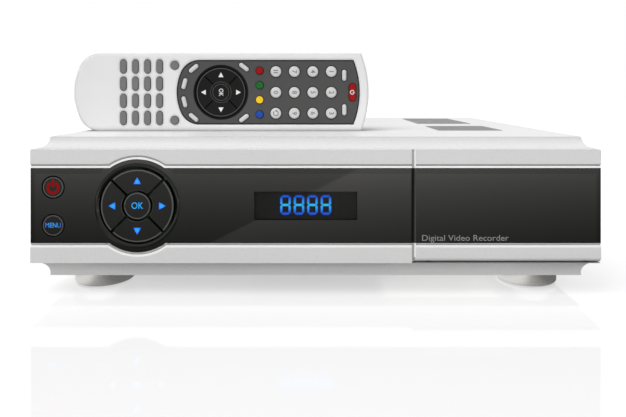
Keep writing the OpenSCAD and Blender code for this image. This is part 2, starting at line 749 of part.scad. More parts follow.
// Outline with a rounded end at u0 and a shallow arc at u1; every curve is an arc
module remote_2d(u0, u1, half, end_r, corner_r, tip_r) {
    reach = sqrt(pow(end_r - corner_r, 2) - pow(half - corner_r, 2));
    uc = u0 + end_r - reach;
    far_u = 3 * reach;
    far_v = 3 * (half - corner_r);
    translate([0, remote_mid]) {
        rect(uc, u1 - tip_r, -half, half);
        for (s = [-1, 1]) translate([uc, s * (half - corner_r - arc_cross)]) circle(r = corner_r + arc_cross);
        intersection() {
            translate([u0 + end_r, 0]) circle(r = end_r, $fn = 96);
            translate([u0 + end_r, 0]) polygon([[0, 0], [-far_u, far_v], [-far_u, -far_v]]);
        }
        intersection() {
            rect(u1 - tip_r - 1, u1 + 1, -half, half);
            translate([u1 - tip_r, 0]) circle(r = tip_r, $fn = 128);
        }
    }
}

module shell_2d(inset) remote_2d(inset, remote_l - inset, remote_mid - inset, 42.5, 15.3, 72.7);
module plate_2d(gap) remote_2d(71.2 + gap, 198.7 - gap, 22.5 - gap, 34.8, 13.9, 60.5);

// Places of the keys, as [u, v] pairs from the end away from the infrared window
grey_pills = [for (i = [0 : 3], j = [0 : 3]) [34.2 + i * 8.4, 9.1 + j * 11.95]];
grey_rounds = [[69.9, 7.5], [69.9, 45.8]];
silver_rounds = [for (i = [0 : 3], j = [0 : 2]) [140.3 + i * 12.85, 12.4 + j * 14.5]];
// Slanted silver pills: u, v and angle
silver_pills = [
    [83, 43.6, 40], [76.6, 32.9, 75], [76.6, 20.3, -75], [83, 9.5, -40],
    [118.1, 44.5, -38], [118.1, 9, 38], [187.9, 38.8, 90], [187.9, 14.8, 90]];
colour_u = 129;
power_u = 193.6;

module pill(w0, w1, l, width) translate([0, 0, w0]) linear_extrude(w1 - w0) slot_2d(l, width);

module grey_key_shapes(w0, w1, grow) {
    for (p = grey_pills) translate([p[0], p[1], 0]) rotate([0, 0, 90]) pill(w0, w1, 9.2 + grow, 3.8 + grow);
    for (p = grey_rounds) translate([p[0], p[1], w0]) cylinder(r = 2.7 + grow / 2, h = w1 - w0);
}

module silver_key_shapes(w0, w1, grow) {
    for (p = silver_rounds) translate([p[0], p[1], w0]) cylinder(r = 3.95 + grow / 2, h = w1 - w0);
    for (p = silver_pills) translate([p[0], p[1], 0]) rotate([0, 0, p[2]]) pill(w0, w1, 8.2 + grow, 3.4 + grow);
}

module colour_key_shape(i, w0, w1, grow)
    translate([colour_u, 11.6 + 10.15 * i, w0]) cylinder(r = 2.55 + grow, h = w1 - w0);

module power_key_shape(w0, w1, grow)
    translate([power_u, remote_mid, 0]) rotate([0, 0, 90]) pill(w0, w1, 12.2 + grow, 4.8 + grow);

module remote_back_shell() color("whitesmoke") remote_place() difference() {
    union() {
        difference() {
            linear_extrude(shell_split) shell_2d(0);
            translate([0, 0, 3.6]) linear_extrude(far) shell_2d(2);
        }
        translate([8.8, 12.8, 3]) cube([52.4, 28.4, 11.4]);
    }
    translate([10, 14, -1]) cube([50, 26, 14.2]);
    translate([-1, -1, -1]) cube([81, remote_w + 2, 2.8]);
    translate([79, 10, 0.8]) cube([3, remote_w - 20, 1]);
}

module remote_battery_cover() color("whitesmoke") remote_place() {
    intersection() {
        linear_extrude(1.6) shell_2d(0.15);
        translate([-1, -1, -1]) cube([80.7, remote_w + 2, 10]);
    }
    translate([79, 10.3, 0.9]) cube([2.6, remote_w - 20.6, 0.7]);
}

module remote_front_shell() color("whitesmoke") remote_place() difference() {
    translate([0, 0, shell_split]) linear_extrude(shell_face - shell_split) shell_2d(0);
    linear_extrude(shell_face - 2) shell_2d(2);
    translate([0, 0, plate_w0]) linear_extrude(far) plate_2d(0);
    linear_extrude(far) remote_2d(73.4, 196.7, 20.5, 32.6, 11.9, 58.5);
    grey_key_shapes(0, far, 2 * key_gap);
    silver_key_shapes(0, far, 2 * key_gap);
}

module remote_face_plate() color("#505050") remote_place() difference() {
    translate([0, 0, plate_w0]) linear_extrude(shell_face - plate_w0) plate_2d(0.1);
    silver_key_shapes(0, far, 2 * key_gap);
    translate([nav_u, remote_mid, 0]) cylinder(r = 18.5, h = far);
    for (i = [0 : 3]) colour_key_shape(i, 0, far, key_gap);
    power_key_shape(0, far, 2 * key_gap);
}

// Rubber mat with the dark keys moulded on it
module remote_keymat() color("dimgray") remote_place() {
    translate([28, 4.6, mat_w0]) cube([168, remote_w - 9.2, mat_w1 - mat_w0]);
    grey_key_shapes(mat_w1, shell_face + 0.6, 0);
}

module remote_silver_keys() color("silver") remote_place() silver_key_shapes(mat_w1, shell_face + 0.9, 0);

module remote_nav_pad() color("#202020") remote_place() translate([nav_u, remote_mid, 0]) difference() {
    union() {
        translate([0, 0, cap_w0]) cylinder(r = 17.2, h = shell_face - 0.2 - cap_w0);
        translate([0, 0, cap_w0]) cylinder(r = 19.2, h = 0.9);
    }
    cylinder(r = 6.7, h = far);
}

module remote_ok_key() color("#202020") remote_place()
    translate([nav_u, remote_mid, cap_w0]) cylinder(r = 6.1, h = shell_face - cap_w0);

module remote_power_key() color("darkred") remote_place() {
    power_key_shape(cap_w0, shell_face + 0.8, 0);
    power_key_shape(cap_w0, cap_w0 + 0.9, 1.6);
}
module colour_key(i) remote_place() {
    colour_key_shape(i, cap_w0, shell_face + 0.8, 0);
    colour_key_shape(i, cap_w0, cap_w0 + 0.9, 0.8);
}
module remote_red_key() color("red") colour_key(3);
module remote_green_key() color("green") colour_key(2);
module remote_yellow_key() color("gold") colour_key(1);
module remote_blue_key() color("royalblue") colour_key(0);

module remote_board() color("darkgreen") remote_place() {
    translate([26, 5, mat_w0 - 2.1]) cube([171.4, remote_w - 10, 1.6]);
    translate([197, remote_mid, mat_w0 - 1.4]) rotate([0, 90, 0]) cylinder(r = 2.4, h = 4);
}

module remote_batteries() color("goldenrod") remote_place() for (v = [20.5, 33.5])
    translate([13, v, 7.6]) rotate([0, 90, 0]) {
        cylinder(r = 5.2, h = 43.5);
        translate([0, 0, 43.5]) cylinder(r = 1.9, h = 1);
    }

// ---------------------------------------------------------------- drawing

base_pan();
top_cover();
rear_panel();
front_bezel();
fascia_panel();
nav_surround();
display_window();
display_module();
display_digits();
power_button();
menu_button();
up_key();
down_key();
left_key();
right_key();
ok_button();
key_board();
door_frame();
door_panel();
door_pins();
door_catch();
card_bay();
card_cages();
eject_button();
main_board();
power_board();
power_transformer();
hard_drive();
drive_bracket();
tuner_cans();
fan_frame();
fan_rotor();
ribbon_cable();
mains_inlet();
mains_switch();
mains_rocker();
f_connectors();
scart_sockets();
rca_sockets();
hdmi_socket();
network_socket();
feet();
foot_pads();
case_screws();
board_screws();
remote_back_shell();
remote_front_shell();
remote_battery_cover();
remote_face_plate();
remote_keymat();
remote_silver_keys();
remote_nav_pad();
remote_ok_key();
remote_power_key();
remote_red_key();
remote_green_key();
remote_yellow_key();
remote_blue_key();
remote_board();
remote_batteries();
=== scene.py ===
"""Looks of the set-top recorder and its remote control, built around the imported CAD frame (metres)."""
import json
import math

import bmesh
import bpy
from mathutils import Matrix, Vector


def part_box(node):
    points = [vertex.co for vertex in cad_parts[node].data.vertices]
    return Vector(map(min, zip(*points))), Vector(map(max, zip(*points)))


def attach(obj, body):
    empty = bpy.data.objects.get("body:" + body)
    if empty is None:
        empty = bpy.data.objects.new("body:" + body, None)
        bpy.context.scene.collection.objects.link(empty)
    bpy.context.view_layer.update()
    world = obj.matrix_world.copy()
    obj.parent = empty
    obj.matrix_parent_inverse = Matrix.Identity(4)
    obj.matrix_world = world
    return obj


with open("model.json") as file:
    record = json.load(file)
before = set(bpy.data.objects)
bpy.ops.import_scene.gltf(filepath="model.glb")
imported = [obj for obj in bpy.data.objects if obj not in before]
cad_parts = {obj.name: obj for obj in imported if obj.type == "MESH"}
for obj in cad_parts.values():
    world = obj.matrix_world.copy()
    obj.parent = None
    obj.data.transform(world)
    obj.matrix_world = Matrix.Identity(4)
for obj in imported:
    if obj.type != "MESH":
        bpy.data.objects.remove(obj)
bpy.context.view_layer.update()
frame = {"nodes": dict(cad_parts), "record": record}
nodes = frame["nodes"]
MM = 0.001


def middle(node):
    lo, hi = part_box(node)
    return (lo + hi) / 2


FACE_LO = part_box("front_bezel")[0]
FRONT = FACE_LO.y                                # the plane of the front face
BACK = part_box("rear_panel")[1].y                 # outer plane of the rear panel
COVER_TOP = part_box("top_cover")[1].z
NAV = middle("ok_button")                        # middle of the navigation keys
PANEL_LO, PANEL_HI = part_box("door_panel")        # the black panel has one height on the door and beside it
PANEL_FRONT = PANEL_LO.y
FASCIA_LO, FASCIA_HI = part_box("fascia_panel")
SPLIT = FASCIA_HI.x                              # where the fixed panel ends, beside the door
DOOR_LO, DOOR_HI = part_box("door_frame")

# ------------------------------------------------------------------ materials


def new_material(name):
    """A material with its tree, its shader and the coordinates of the object, which are those of the frame."""
    material = bpy.data.materials.new(name)
    material.use_nodes = True
    tree = material.node_tree
    coordinates = tree.nodes.new("ShaderNodeTexCoord").outputs["Object"]
    return material, tree, tree.nodes["Principled BSDF"], coordinates


def noise(tree, coordinates, scale, detail=3.0, stretch=(1, 1, 1)):
    """A noise texture's factor output, with the coordinates stretched first."""
    mapping = tree.nodes.new("ShaderNodeMapping")
    mapping.inputs["Scale"].default_value = stretch
    texture = tree.nodes.new("ShaderNodeTexNoise")
    texture.inputs["Scale"].default_value = scale
    texture.inputs["Detail"].default_value = detail
    tree.links.new(coordinates, mapping.inputs["Vector"])
    tree.links.new(mapping.outputs["Vector"], texture.inputs["Vector"])
    return texture.outputs["Fac"]


def between(tree, factor, low, high):
    """Maps a noise factor onto the values from low to high."""
    ranged = tree.nodes.new("ShaderNodeMapRange")
    ranged.inputs["From Min"].default_value = 0.3
    ranged.inputs["From Max"].default_value = 0.7
    ranged.inputs["To Min"].default_value = low
    ranged.inputs["To Max"].default_value = high
    tree.links.new(factor, ranged.inputs["Value"])
    return ranged.outputs["Result"]


def blended(tree, factor, first, second):
    """A colour between two others."""
    mix = tree.nodes.new("ShaderNodeMix")
    mix.data_type = "RGBA"
    mix.inputs["A"].default_value = (*first, 1)
    mix.inputs["B"].default_value = (*second, 1)
    tree.links.new(factor, mix.inputs["Factor"])
    return mix.outputs["Result"]


def painted_occlusion(tree, colour, distance, depth):
    """Painted shade: darkens a colour where other surfaces stand close, from an ambient-occlusion reading."""
    near = tree.nodes.new("ShaderNodeAmbientOcclusion")
    near.samples = 8
    near.inputs["Distance"].default_value = distance
    ranged = tree.nodes.new("ShaderNodeMapRange")
    ranged.inputs["From Min"].default_value = 0.25
    ranged.inputs["From Max"].default_value = 0.95
    ranged.inputs["To Min"].default_value = 1 - depth
    ranged.inputs["To Max"].default_value = 1.0
    tree.links.new(near.outputs["AO"], ranged.inputs["Value"])
    darken = tree.nodes.new("ShaderNodeMix")
    darken.data_type = "RGBA"
    darken.blend_type = "MULTIPLY"
    darken.inputs["Factor"].default_value = 1.0
    tree.links.new(colour, darken.inputs["A"])
    tree.links.new(ranged.outputs["Result"], darken.inputs["B"])
    return darken.outputs["Result"]


def finish_of(name, colour, rough, metallic=0.0, coat=0.0, cloudy=0.04, rough_spread=0.04,
              grain=1500.0, bump=0.0, stretch=(1, 1, 1), specular=0.5, glow=0.0, glow_colour=None,
              painted_shade=0.0, painted_shade_reach=0.008, turned=0.0, soft=0.0):
    """A moulded, painted or metal finish: slow colour clouding, uneven roughness and a fine bump."""
    material, tree, shader, coordinates = new_material(name)
    slow = between(tree, noise(tree, coordinates, 25.0), 0, 1)
    fine = noise(tree, coordinates, grain, 4.0, stretch)
    darker = [c * (1 - cloudy) for c in colour]
    base = blended(tree, slow, darker, colour)
    # Painted shade: the colour is darkened where other surfaces stand close, in corners, recesses and under nearby
    # parts.
    tree.links.new(painted_occlusion(tree, base, painted_shade_reach, painted_shade) if painted_shade else base, shader.inputs["Base Color"])
    if turned:
        around = tree.nodes.new("ShaderNodeTangent")
        around.direction_type = "RADIAL"
        around.axis = "Z"
        tree.links.new(around.outputs["Tangent"], shader.inputs["Tangent"])
        shader.inputs["Anisotropic"].default_value = turned
    tree.links.new(between(tree, fine, max(rough - rough_spread, 0.02), rough + rough_spread),
                   shader.inputs["Roughness"])
    shader.inputs["Metallic"].default_value = metallic
    shader.inputs["Specular IOR Level"].default_value = specular
    shader.inputs["Coat Weight"].default_value = coat
    shader.inputs["Coat Roughness"].default_value = 0.06
    if bump:
        node = tree.nodes.new("ShaderNodeBump")
        if soft:                                 # the edges look rounded over this distance
            rounded = tree.nodes.new("ShaderNodeBevel")
            rounded.samples = 6
            rounded.inputs["Radius"].default_value = soft
            tree.links.new(rounded.outputs["Normal"], node.inputs["Normal"])
        node.inputs["Strength"].default_value = bump
        node.inputs["Distance"].default_value = 0.0001
        tree.links.new(fine, node.inputs["Height"])
        tree.links.new(node.outputs["Normal"], shader.inputs["Normal"])
    if glow:
        shader.inputs["Emission Color"].default_value = (*(glow_colour or colour), 1)
        shader.inputs["Emission Strength"].default_value = glow
    return material


def lit_gradient(name, stops, centre_z, reach, glow):
    """Glowing marks whose colour changes with the height above or below centre_z."""
    material, tree, shader, coordinates = new_material(name)
    axes = tree.nodes.new("ShaderNodeSeparateXYZ")
    tree.links.new(coordinates, axes.inputs["Vector"])
    ranged = tree.nodes.new("ShaderNodeMapRange")
    ranged.inputs["From Min"].default_value = centre_z - reach
    ranged.inputs["From Max"].default_value = centre_z + reach
    tree.links.new(axes.outputs["Z"], ranged.inputs["Value"])
    ramp = tree.nodes.new("ShaderNodeValToRGB")
    elements = ramp.color_ramp.elements
    while len(elements) > 1:
        elements.remove(elements[-1])
    elements[0].position, elements[0].color = stops[0][0], (*stops[0][1], 1)
    for position, colour in stops[1:]:
        elements.new(position).color = (*colour, 1)
    tree.links.new(ranged.outputs["Result"], ramp.inputs["Fac"])
    tree.links.new(ramp.outputs["Color"], shader.inputs["Base Color"])
    tree.links.new(ramp.outputs["Color"], shader.inputs["Emission Color"])
    shader.inputs["Emission Strength"].default_value = glow
    shader.inputs["Roughness"].default_value = 0.4
    return material


def lit_spot(name, spot, reach, inner, outer, glow):
    """Glowing marks that are brightest at spot (x, z) and darker at reach from it."""
    material, tree, shader, coordinates = new_material(name)
    flat = tree.nodes.new("ShaderNodeMapping")
    flat.inputs["Scale"].default_value = (1, 0, 1)
    distance = tree.nodes.new("ShaderNodeVectorMath")
    distance.operation = "DISTANCE"
    distance.inputs[1].default_value = (spot[0], 0, spot[1])
    ranged = tree.nodes.new("ShaderNodeMapRange")
    ranged.inputs["From Max"].default_value = reach
    tree.links.new(coordinates, flat.inputs["Vector"])
    tree.links.new(flat.outputs["Vector"], distance.inputs[0])
    tree.links.new(distance.outputs["Value"], ranged.inputs["Value"])
    colour = blended(tree, ranged.outputs["Result"], inner, outer)
    tree.links.new(colour, shader.inputs["Base Color"])
    tree.links.new(colour, shader.inputs["Emission Color"])
    shader.inputs["Emission Strength"].default_value = glow
    shader.inputs["Roughness"].default_value = 0.4
    return material


BRUSH_X = (0.02, 1, 1)                           # brushing lines that run along x
COLOUR_KEY = dict(rough=0.3, specular=0.25, grain=2500.0, painted_shade=0.5, painted_shade_reach=0.002)

FINISHES = {
    # The casing's painted shade reaches far, so the remote standing on the cover casts a painted shadow on it.
    "casing_white": dict(colour=(0.825, 0.825, 0.825), rough=0.42, grain=2600.0, bump=0.12, painted_shade=0.5,
                         painted_shade_reach=0.02),
    "front_white": dict(colour=(0.69, 0.69, 0.69), rough=0.30, grain=900.0, bump=0.015, painted_shade=0.55, cloudy=0.015),
    "panel_black": dict(colour=(0.004, 0.004, 0.0038), rough=0.04, rough_spread=0.01, cloudy=0.1),
    "key_black": dict(colour=(0.006, 0.006, 0.006), rough=0.25, grain=3000.0, bump=0.05, specular=0.33),
    "inner_black": dict(colour=(0.02, 0.02, 0.02), rough=0.55, grain=3000.0, bump=0.3),
    "plated_steel": dict(colour=(0.62, 0.62, 0.63), rough=0.34, metallic=1.0, grain=700.0, bump=0.1, stretch=BRUSH_X),
    "brushed_silver": dict(colour=(0.74, 0.74, 0.75), rough=0.26, rough_spread=0.02, metallic=1.0, grain=4000.0,
                           bump=0.06, stretch=(0.02, 0.02, 1), turned=0.8),
    "pad_rubber": dict(colour=(0.02, 0.02, 0.02), rough=0.75, grain=2500.0, bump=0.4),
    "board_green": dict(colour=(0.015, 0.12, 0.04), rough=0.35, grain=500.0, bump=0.2),
    "board_tan": dict(colour=(0.42, 0.27, 0.10), rough=0.5, grain=500.0, bump=0.2),
    "core_yellow": dict(colour=(0.62, 0.42, 0.05), rough=0.4, grain=300.0, bump=0.2),
    "drive_cast": dict(colour=(0.30, 0.31, 0.33), rough=0.42, metallic=0.9, grain=1800.0, bump=0.3),
    "cable_grey": dict(colour=(0.45, 0.45, 0.47), rough=0.5, grain=1200.0, bump=0.2, stretch=(1, 0.02, 0.02)),
    "socket_metal": dict(colour=(0.75, 0.74, 0.72), rough=0.18, metallic=1.0, grain=900.0, bump=0.05),
    "socket_black": dict(colour=(0.018, 0.018, 0.018), rough=0.4, grain=2500.0, bump=0.2),
    "remote_white": dict(colour=(0.80, 0.80, 0.80), rough=0.36, grain=1500.0, bump=0.03, painted_shade=0.5, painted_shade_reach=0.004,
                         soft=0.003),
    "remote_grey": dict(colour=(0.056, 0.056, 0.056), rough=0.40, grain=2500.0, bump=0.1, painted_shade=0.6,
                        painted_shade_reach=0.003),
    "mat_grey": dict(colour=(0.17, 0.17, 0.17), rough=0.6, grain=2500.0, bump=0.15, painted_shade=0.6, painted_shade_reach=0.002),
    "key_silver": dict(colour=(0.66, 0.66, 0.66), rough=0.30, grain=2500.0, bump=0.05, metallic=0.2,
                       painted_shade=0.8, painted_shade_reach=0.003, soft=0.0015),
    "key_dark": dict(colour=(0.006, 0.006, 0.006), rough=0.32, grain=2500.0, bump=0.05, specular=0.18),
    "key_red": dict(COLOUR_KEY, colour=(0.32, 0.0, 0.0), specular=0.18),
    "key_green": dict(COLOUR_KEY, colour=(0.004, 0.13, 0.02)),
    "key_yellow": dict(COLOUR_KEY, colour=(0.90, 0.58, 0.01)),
    "key_blue": dict(COLOUR_KEY, colour=(0.008, 0.06, 0.36)),
    "cell_gold": dict(colour=(0.45, 0.30, 0.06), rough=0.3, metallic=0.8, grain=400.0),
}
MATERIALS = {name: finish_of(name, **values) for name, values in FINISHES.items()}

# Blues of the lit figures and marks
CYAN, AZURE, DEEP = (0.03, 0.50, 0.88), (0.02, 0.26, 0.92), (0.005, 0.09, 0.68)
TEAL, ARROW_LIGHT, MENU_LIGHT = (0.0, 0.30, 0.60), (0.005, 0.31, 0.95), (0.03, 0.38, 0.80)
window_mid = middle("display_window")
digits_lo, digits_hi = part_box("display_digits")
MATERIALS["digit_blue"] = lit_gradient(
    "digit_blue", [(0.0, DEEP), (0.12, DEEP), (0.3, AZURE), (0.5, CYAN), (0.7, AZURE), (0.88, DEEP), (1.0, DEEP)],
    window_mid.z, (digits_hi.z - digits_lo.z) / 2, 1.5)


def smoked_lens():
    """Dark clear acrylic: glossy in front, and what is behind it shows dimmed."""
    material, tree, shader, coordinates = new_material("lens_smoke")
    haze = noise(tree, coordinates, 400.0)
    tree.links.new(blended(tree, haze, (0.004, 0.004, 0.004), (0.006, 0.006, 0.006)), shader.inputs["Base Color"])
    tree.links.new(between(tree, haze, 0.04, 0.07), shader.inputs["Roughness"])
    shader.inputs["Alpha"].default_value = 0.3
    shader.inputs["Specular IOR Level"].default_value = 0.22
    return material


MATERIALS["lens_smoke"] = smoked_lens()

# ------------------------------------------------------------------ CAD nodes

# Width of the rounded edge of each node, in millimetres; the others get the width of DEFAULT_EDGE. Nodes at 0 keep
# the CAD's facets: rounding would tear the flat faces of those with many openings.
EDGE = {
    "front_bezel": 0.2, "door_frame": 0.2, "door_panel": 0.15, "fascia_panel": 0.15, "nav_surround": 0.15,
    "display_digits": 0.0, "display_window": 0.1, "top_cover": 0.2, "base_pan": 0.2, "rear_panel": 0.15,
    "feet": 0.3, "foot_pads": 0.4, "remote_front_shell": 1.6, "remote_back_shell": 1.6, "remote_battery_cover": 0.3,
    "remote_silver_keys": 1.5, "remote_keymat": 0.9, "remote_power_key": 0.8, "remote_nav_pad": 0.35,
    "remote_ok_key": 0.35, "remote_red_key": 0.8, "remote_green_key": 0.8, "remote_yellow_key": 0.8,
    "remote_blue_key": 0.8, "fan_rotor": 0.15, "main_board": 0.1, "scart_sockets": 0.0, "card_bay": 0.0,
    "card_cages": 0.0, "hdmi_socket": 0.0, "power_transformer": 0.0, "mains_inlet": 0.0,
}
DEFAULT_EDGE = 0.2
WIDE_EDGE = 1.0                                  # an edge wider than this is rounded in more steps
SHARP = math.radians(33)                         # faces that meet at more than this form an edge


def shade(mesh, bevelled):
    """Smooth shading; without a bevel the sharp edges stay sharp."""
    mesh.polygons.foreach_set("use_smooth", [True] * len(mesh.polygons))
    if not bevelled:
        mesh.set_sharp_from_angle(angle=SHARP)


def clear_normals(mesh, bevelled):
    """Drops imported normals, so that bevels shade from the surface itself."""
    for name in ("custom_normal", "sharp_edge", "sharp_face"):
        if name in mesh.attributes:
            mesh.attributes.remove(mesh.attributes[name])
    shade(mesh, bevelled)


def round_edges(piece, width, segments=3):
    """Merges the facets of flat faces and rounds the sharp edges; with no width the piece stays as it is."""
    weld = piece.modifiers.new("weld", "WELD")
    weld.merge_threshold = 2e-6
    if width:
        flat = piece.modifiers.new("flat", "DECIMATE")
        flat.decimate_type = "DISSOLVE"
        flat.angle_limit = math.radians(0.3)
        edge = piece.modifiers.new("edge", "BEVEL")
        edge.width = width * MM
        edge.segments = segments
        edge.limit_method = "ANGLE"
        edge.angle_limit = SHARP
        edge.use_clamp_overlap = True
        edge.harden_normals = True
        edge.miter_outer = "MITER_ARC"


node_slot = {s["node"]: s["material_slot"] for s in frame["record"]["subparts"]}
for name, node in nodes.items():
    node.data.materials.clear()
    node.data.materials.append(MATERIALS[node_slot[name]])
    width = EDGE.get(name, DEFAULT_EDGE)
    clear_normals(node.data, width)
    round_edges(node, width, 5 if width > WIDE_EDGE else 3)

# ------------------------------------------------------------------ piece builders


def piece_from(bm, name, finish, body, edge=0.0):
    """Finishes a bmesh as a named piece of the object that rides on a body."""
    bmesh.ops.recalc_face_normals(bm, faces=bm.faces)
    mesh = bpy.data.meshes.new(name)
    bm.to_mesh(mesh)
    bm.free()
    mesh.materials.append(finish if isinstance(finish, bpy.types.Material) else MATERIALS[finish])
    shade(mesh, edge)
    piece = bpy.data.objects.new(name, mesh)
    bpy.context.scene.collection.objects.link(piece)
    round_edges(piece, edge, 2)
    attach(piece, body)
    return piece


def prisms(name, outlines, near, far, finish, body, edge=0.0):
    """Closed solids with outlines in the x-z plane that reach from depth near to depth far along y."""
    bm = bmesh.new()
    for outline in outlines:
        front = [bm.verts.new((x, near, z)) for x, z in outline]
        back = [bm.verts.new((x, far, z)) for x, z in outline]
        bm.faces.new(front)
        bm.faces.new(back[::-1])
        for i in range(len(outline)):
            j = (i + 1) % len(outline)
            bm.faces.new((front[i], back[i], back[j], front[j]))
    return piece_from(bm, name, finish, body, edge)


def lathe(name, profiles, centres, finish, body, steps=64, edge=0.0):
    """Solids turned about axes along y: profiles of (radius, y), one solid for each centre (x, z)."""
    bm = bmesh.new()
    for cx, cz in centres:
        for profile in profiles:
            rings = []
            for k in range(steps):
                a = 2 * math.pi * k / steps
                rings.append([bm.verts.new((cx + r * math.cos(a), y, cz + r * math.sin(a))) for r, y in profile])
            for k in range(steps):
                here, there = rings[k], rings[(k + 1) % steps]
                for i in range(len(profile)):
                    j = (i + 1) % len(profile)
                    bm.faces.new((here[i], here[j], there[j], there[i]))
    bmesh.ops.remove_doubles(bm, verts=bm.verts, dist=1e-7)
    return piece_from(bm, name, finish, body, edge)


def band(cx, cz, r_in, r_out, start, end, steps=40):
    """Outline of a part of a ring, angles in degrees anticlockwise from +x."""
    angles = [math.radians(start + (end - start) * i / steps) for i in range(steps + 1)]
    outer = [(cx + r_out * math.cos(a), cz + r_out * math.sin(a)) for a in angles]
    return outer + [(cx + r_in * math.cos(a), cz + r_in * math.sin(a)) for a in reversed(angles)]


def ring(cx, cz, r_in, r_out):
    """Outlines of a whole ring, as two halves that meet."""
    return [band(cx, cz, r_in, r_out, 0, 180), band(cx, cz, r_in, r_out, 180, 360)]


def bar(x0, x1, z0, z1):
    """Outline of a rectangle."""
    return [(x0, z0), (x1, z0), (x1, z1), (x0, z1)]


def turned_outline(outline, cx, cz, degrees):
    """An outline turned anticlockwise about (cx, cz)."""
    a = math.radians(degrees)
    return [(cx + (x - cx) * math.cos(a) - (z - cz) * math.sin(a),
             cz + (x - cx) * math.sin(a) + (z - cz) * math.cos(a)) for x, z in outline]


def words(name, text, centre, near, height, finish, body, turn=0.0, width=None, bold=0.0, align="CENTER",
          thickness=0.06 * MM, facing=1):
    """Printed lettering as thin closed solids; its front is at depth near, and height is that of a capital."""
    font = bpy.data.curves.new(name, "FONT")
    font.body = text
    font.size = height / 0.72
    font.align_x = align
    font.align_y = "CENTER"
    font.extrude = thickness / 2
    font.offset = bold
    font.resolution_u = 4
    source = bpy.data.objects.new(name + "_source", font)
    bpy.context.scene.collection.objects.link(source)
    bpy.context.view_layer.update()
    mesh = bpy.data.meshes.new_from_object(source.evaluated_get(bpy.context.evaluated_depsgraph_get()))
    bpy.data.objects.remove(source)
    stretch = width / max(v.co.x for v in mesh.vertices) / 2 if width else 1.0
    place = (Matrix.Translation((centre[0], near + facing * thickness / 2, centre[1]))
             @ Matrix.Rotation(math.radians(turn), 4, "Y")
             @ Matrix.Rotation(0 if facing > 0 else math.pi, 4, "Z")
             @ Matrix.Rotation(math.pi / 2, 4, "X") @ Matrix.Diagonal((stretch, 1, 1, 1)))
    mesh.transform(place)
    bm = bmesh.new()
    bm.from_mesh(mesh)
    bpy.data.meshes.remove(mesh)
    bmesh.ops.remove_doubles(bm, verts=bm.verts, dist=1e-6)
    return piece_from(bm, name, finish, body)


# ------------------------------------------------------------------ trims of the front, with painted highlights and shade

PRINT = 0.05 * MM                                # how far printed marks stand out
BULGE = 27.8 * MM                                # radius of the panel's round bulge
GROOVE = 2.5 * MM                                # width of the groove round the black panel
HIGHLIGHT_STEP = 1.3 * MM                             # distance from the panel at which the highlight strip steps back
HIGHLIGHT_DEEP = 1.25 * MM                            # how deep the highlight strips reach into the groove
CHAMFER = 1.3 * MM                               # of the left edge of the door

trim_white = finish_of("trim_white", (0.93, 0.93, 0.93), 0.25, grain=800.0, cloudy=0.01)
edge_grey = finish_of("edge_grey", (0.055, 0.055, 0.054), 0.25)
border_black = finish_of("border_black", (0.003, 0.003, 0.003), 0.05, rough_spread=0.01, specular=0.3)
ring_grey = finish_of("ring_grey", (0.075, 0.075, 0.07), 0.3)
ring_faint = finish_of("ring_faint", (0.03, 0.03, 0.028), 0.3)


def highlight_outline(x0, x1, edge_z, near, far, up):
    """A strip from near to far outside the panel's edge, which follows the edge round the bulge."""
    rows = []
    for reach in (near, far):
        z = edge_z + up * reach
        r = BULGE + reach
        start = math.asin(abs(z - NAV.z) / r)
        arc = [start + (math.pi - 2 * start) * i / 48 for i in range(49)]
        row = [(NAV.x + r * math.cos(a), NAV.z + up * r * math.sin(a)) for a in arc]
        rows.append([(x1, z)] + row + [(x0, z)])
    return rows[0] + rows[1][::-1]


# Painted highlight: bright white strips on the lower wall of the groove above and below the black panel stand in for
# the light falling on that wall from above.
for name, z, up, near, far, front in (
        ("upper", PANEL_HI.z, 1, 0.05 * MM, HIGHLIGHT_STEP, 0.22 * MM),
        ("lower", PANEL_LO.z, -1, HIGHLIGHT_STEP, GROOVE, 0.1 * MM)):
    prisms(name + "_trim", [highlight_outline(FACE_LO.x, SPLIT, z, near, far, up)],
           FRONT + front, FRONT + HIGHLIGHT_DEEP, trim_white, "recorder", 0.04)
    door_z = sorted((z + up * near, z + up * far))
    prisms(name + "_door_trim", [bar(DOOR_LO.x + CHAMFER, DOOR_HI.x, *door_z)],
           FRONT + front, FRONT + HIGHLIGHT_DEEP, trim_white, "door", 0.04)


def chamfer_strip(name, z0, z1, finish):
    """A thin strip on the chamfered left edge of the door, lighter than the surface round it: a painted highlight of
    the chamfer.
    """
    lift = 0.08 * MM                             # how far the strip stands out of the chamfer
    foot = [(DOOR_LO.x, FRONT + CHAMFER), (DOOR_LO.x + CHAMFER, FRONT),
            (DOOR_LO.x + CHAMFER, FRONT + 0.3 * MM), (DOOR_LO.x + 0.3 * MM, FRONT + CHAMFER)]
    bm = bmesh.new()
    low, high = ([bm.verts.new((x - lift * (i < 2), y - lift * (i < 2) * 0.5, z)) for i, (x, y) in enumerate(foot)]
                 for z in (z0, z1))
    bm.faces.new(low)
    bm.faces.new(high[::-1])
    for i in range(4):
        j = (i + 1) % 4
        bm.faces.new((low[i], high[i], high[j], low[j]))
    return piece_from(bm, name, finish, "door")


# Painted highlight on the door's chamfer: white beside the white strips, grey beside the black panel.
chamfer_strip("door_edge_upper", PANEL_HI.z, DOOR_HI.z - 0.1 * MM, trim_white)
chamfer_strip("door_edge_panel", PANEL_LO.z, PANEL_HI.z, edge_grey)
chamfer_strip("door_edge_lower", DOOR_LO.z + 3 * MM, PANEL_LO.z, trim_white)

BAND_TOP, BAND_END = 2.9 * MM, 2.5 * MM          # width of the duller margin, at the top and at the end
EDGE_LINE, HAIRLINE = 1.1 * MM, 0.35 * MM        # width of the dark lines, at the end and elsewhere
BULGE_HALF = 18.2 * MM                           # half the width that the bulge takes from the panel's edges
PANEL_INSET = 0.1 * MM                           # between the panel's edge and the dark lines
band_black = finish_of("band_black", (0.0036, 0.0036, 0.0034), 0.05, rough_spread=0.01, specular=0.40)


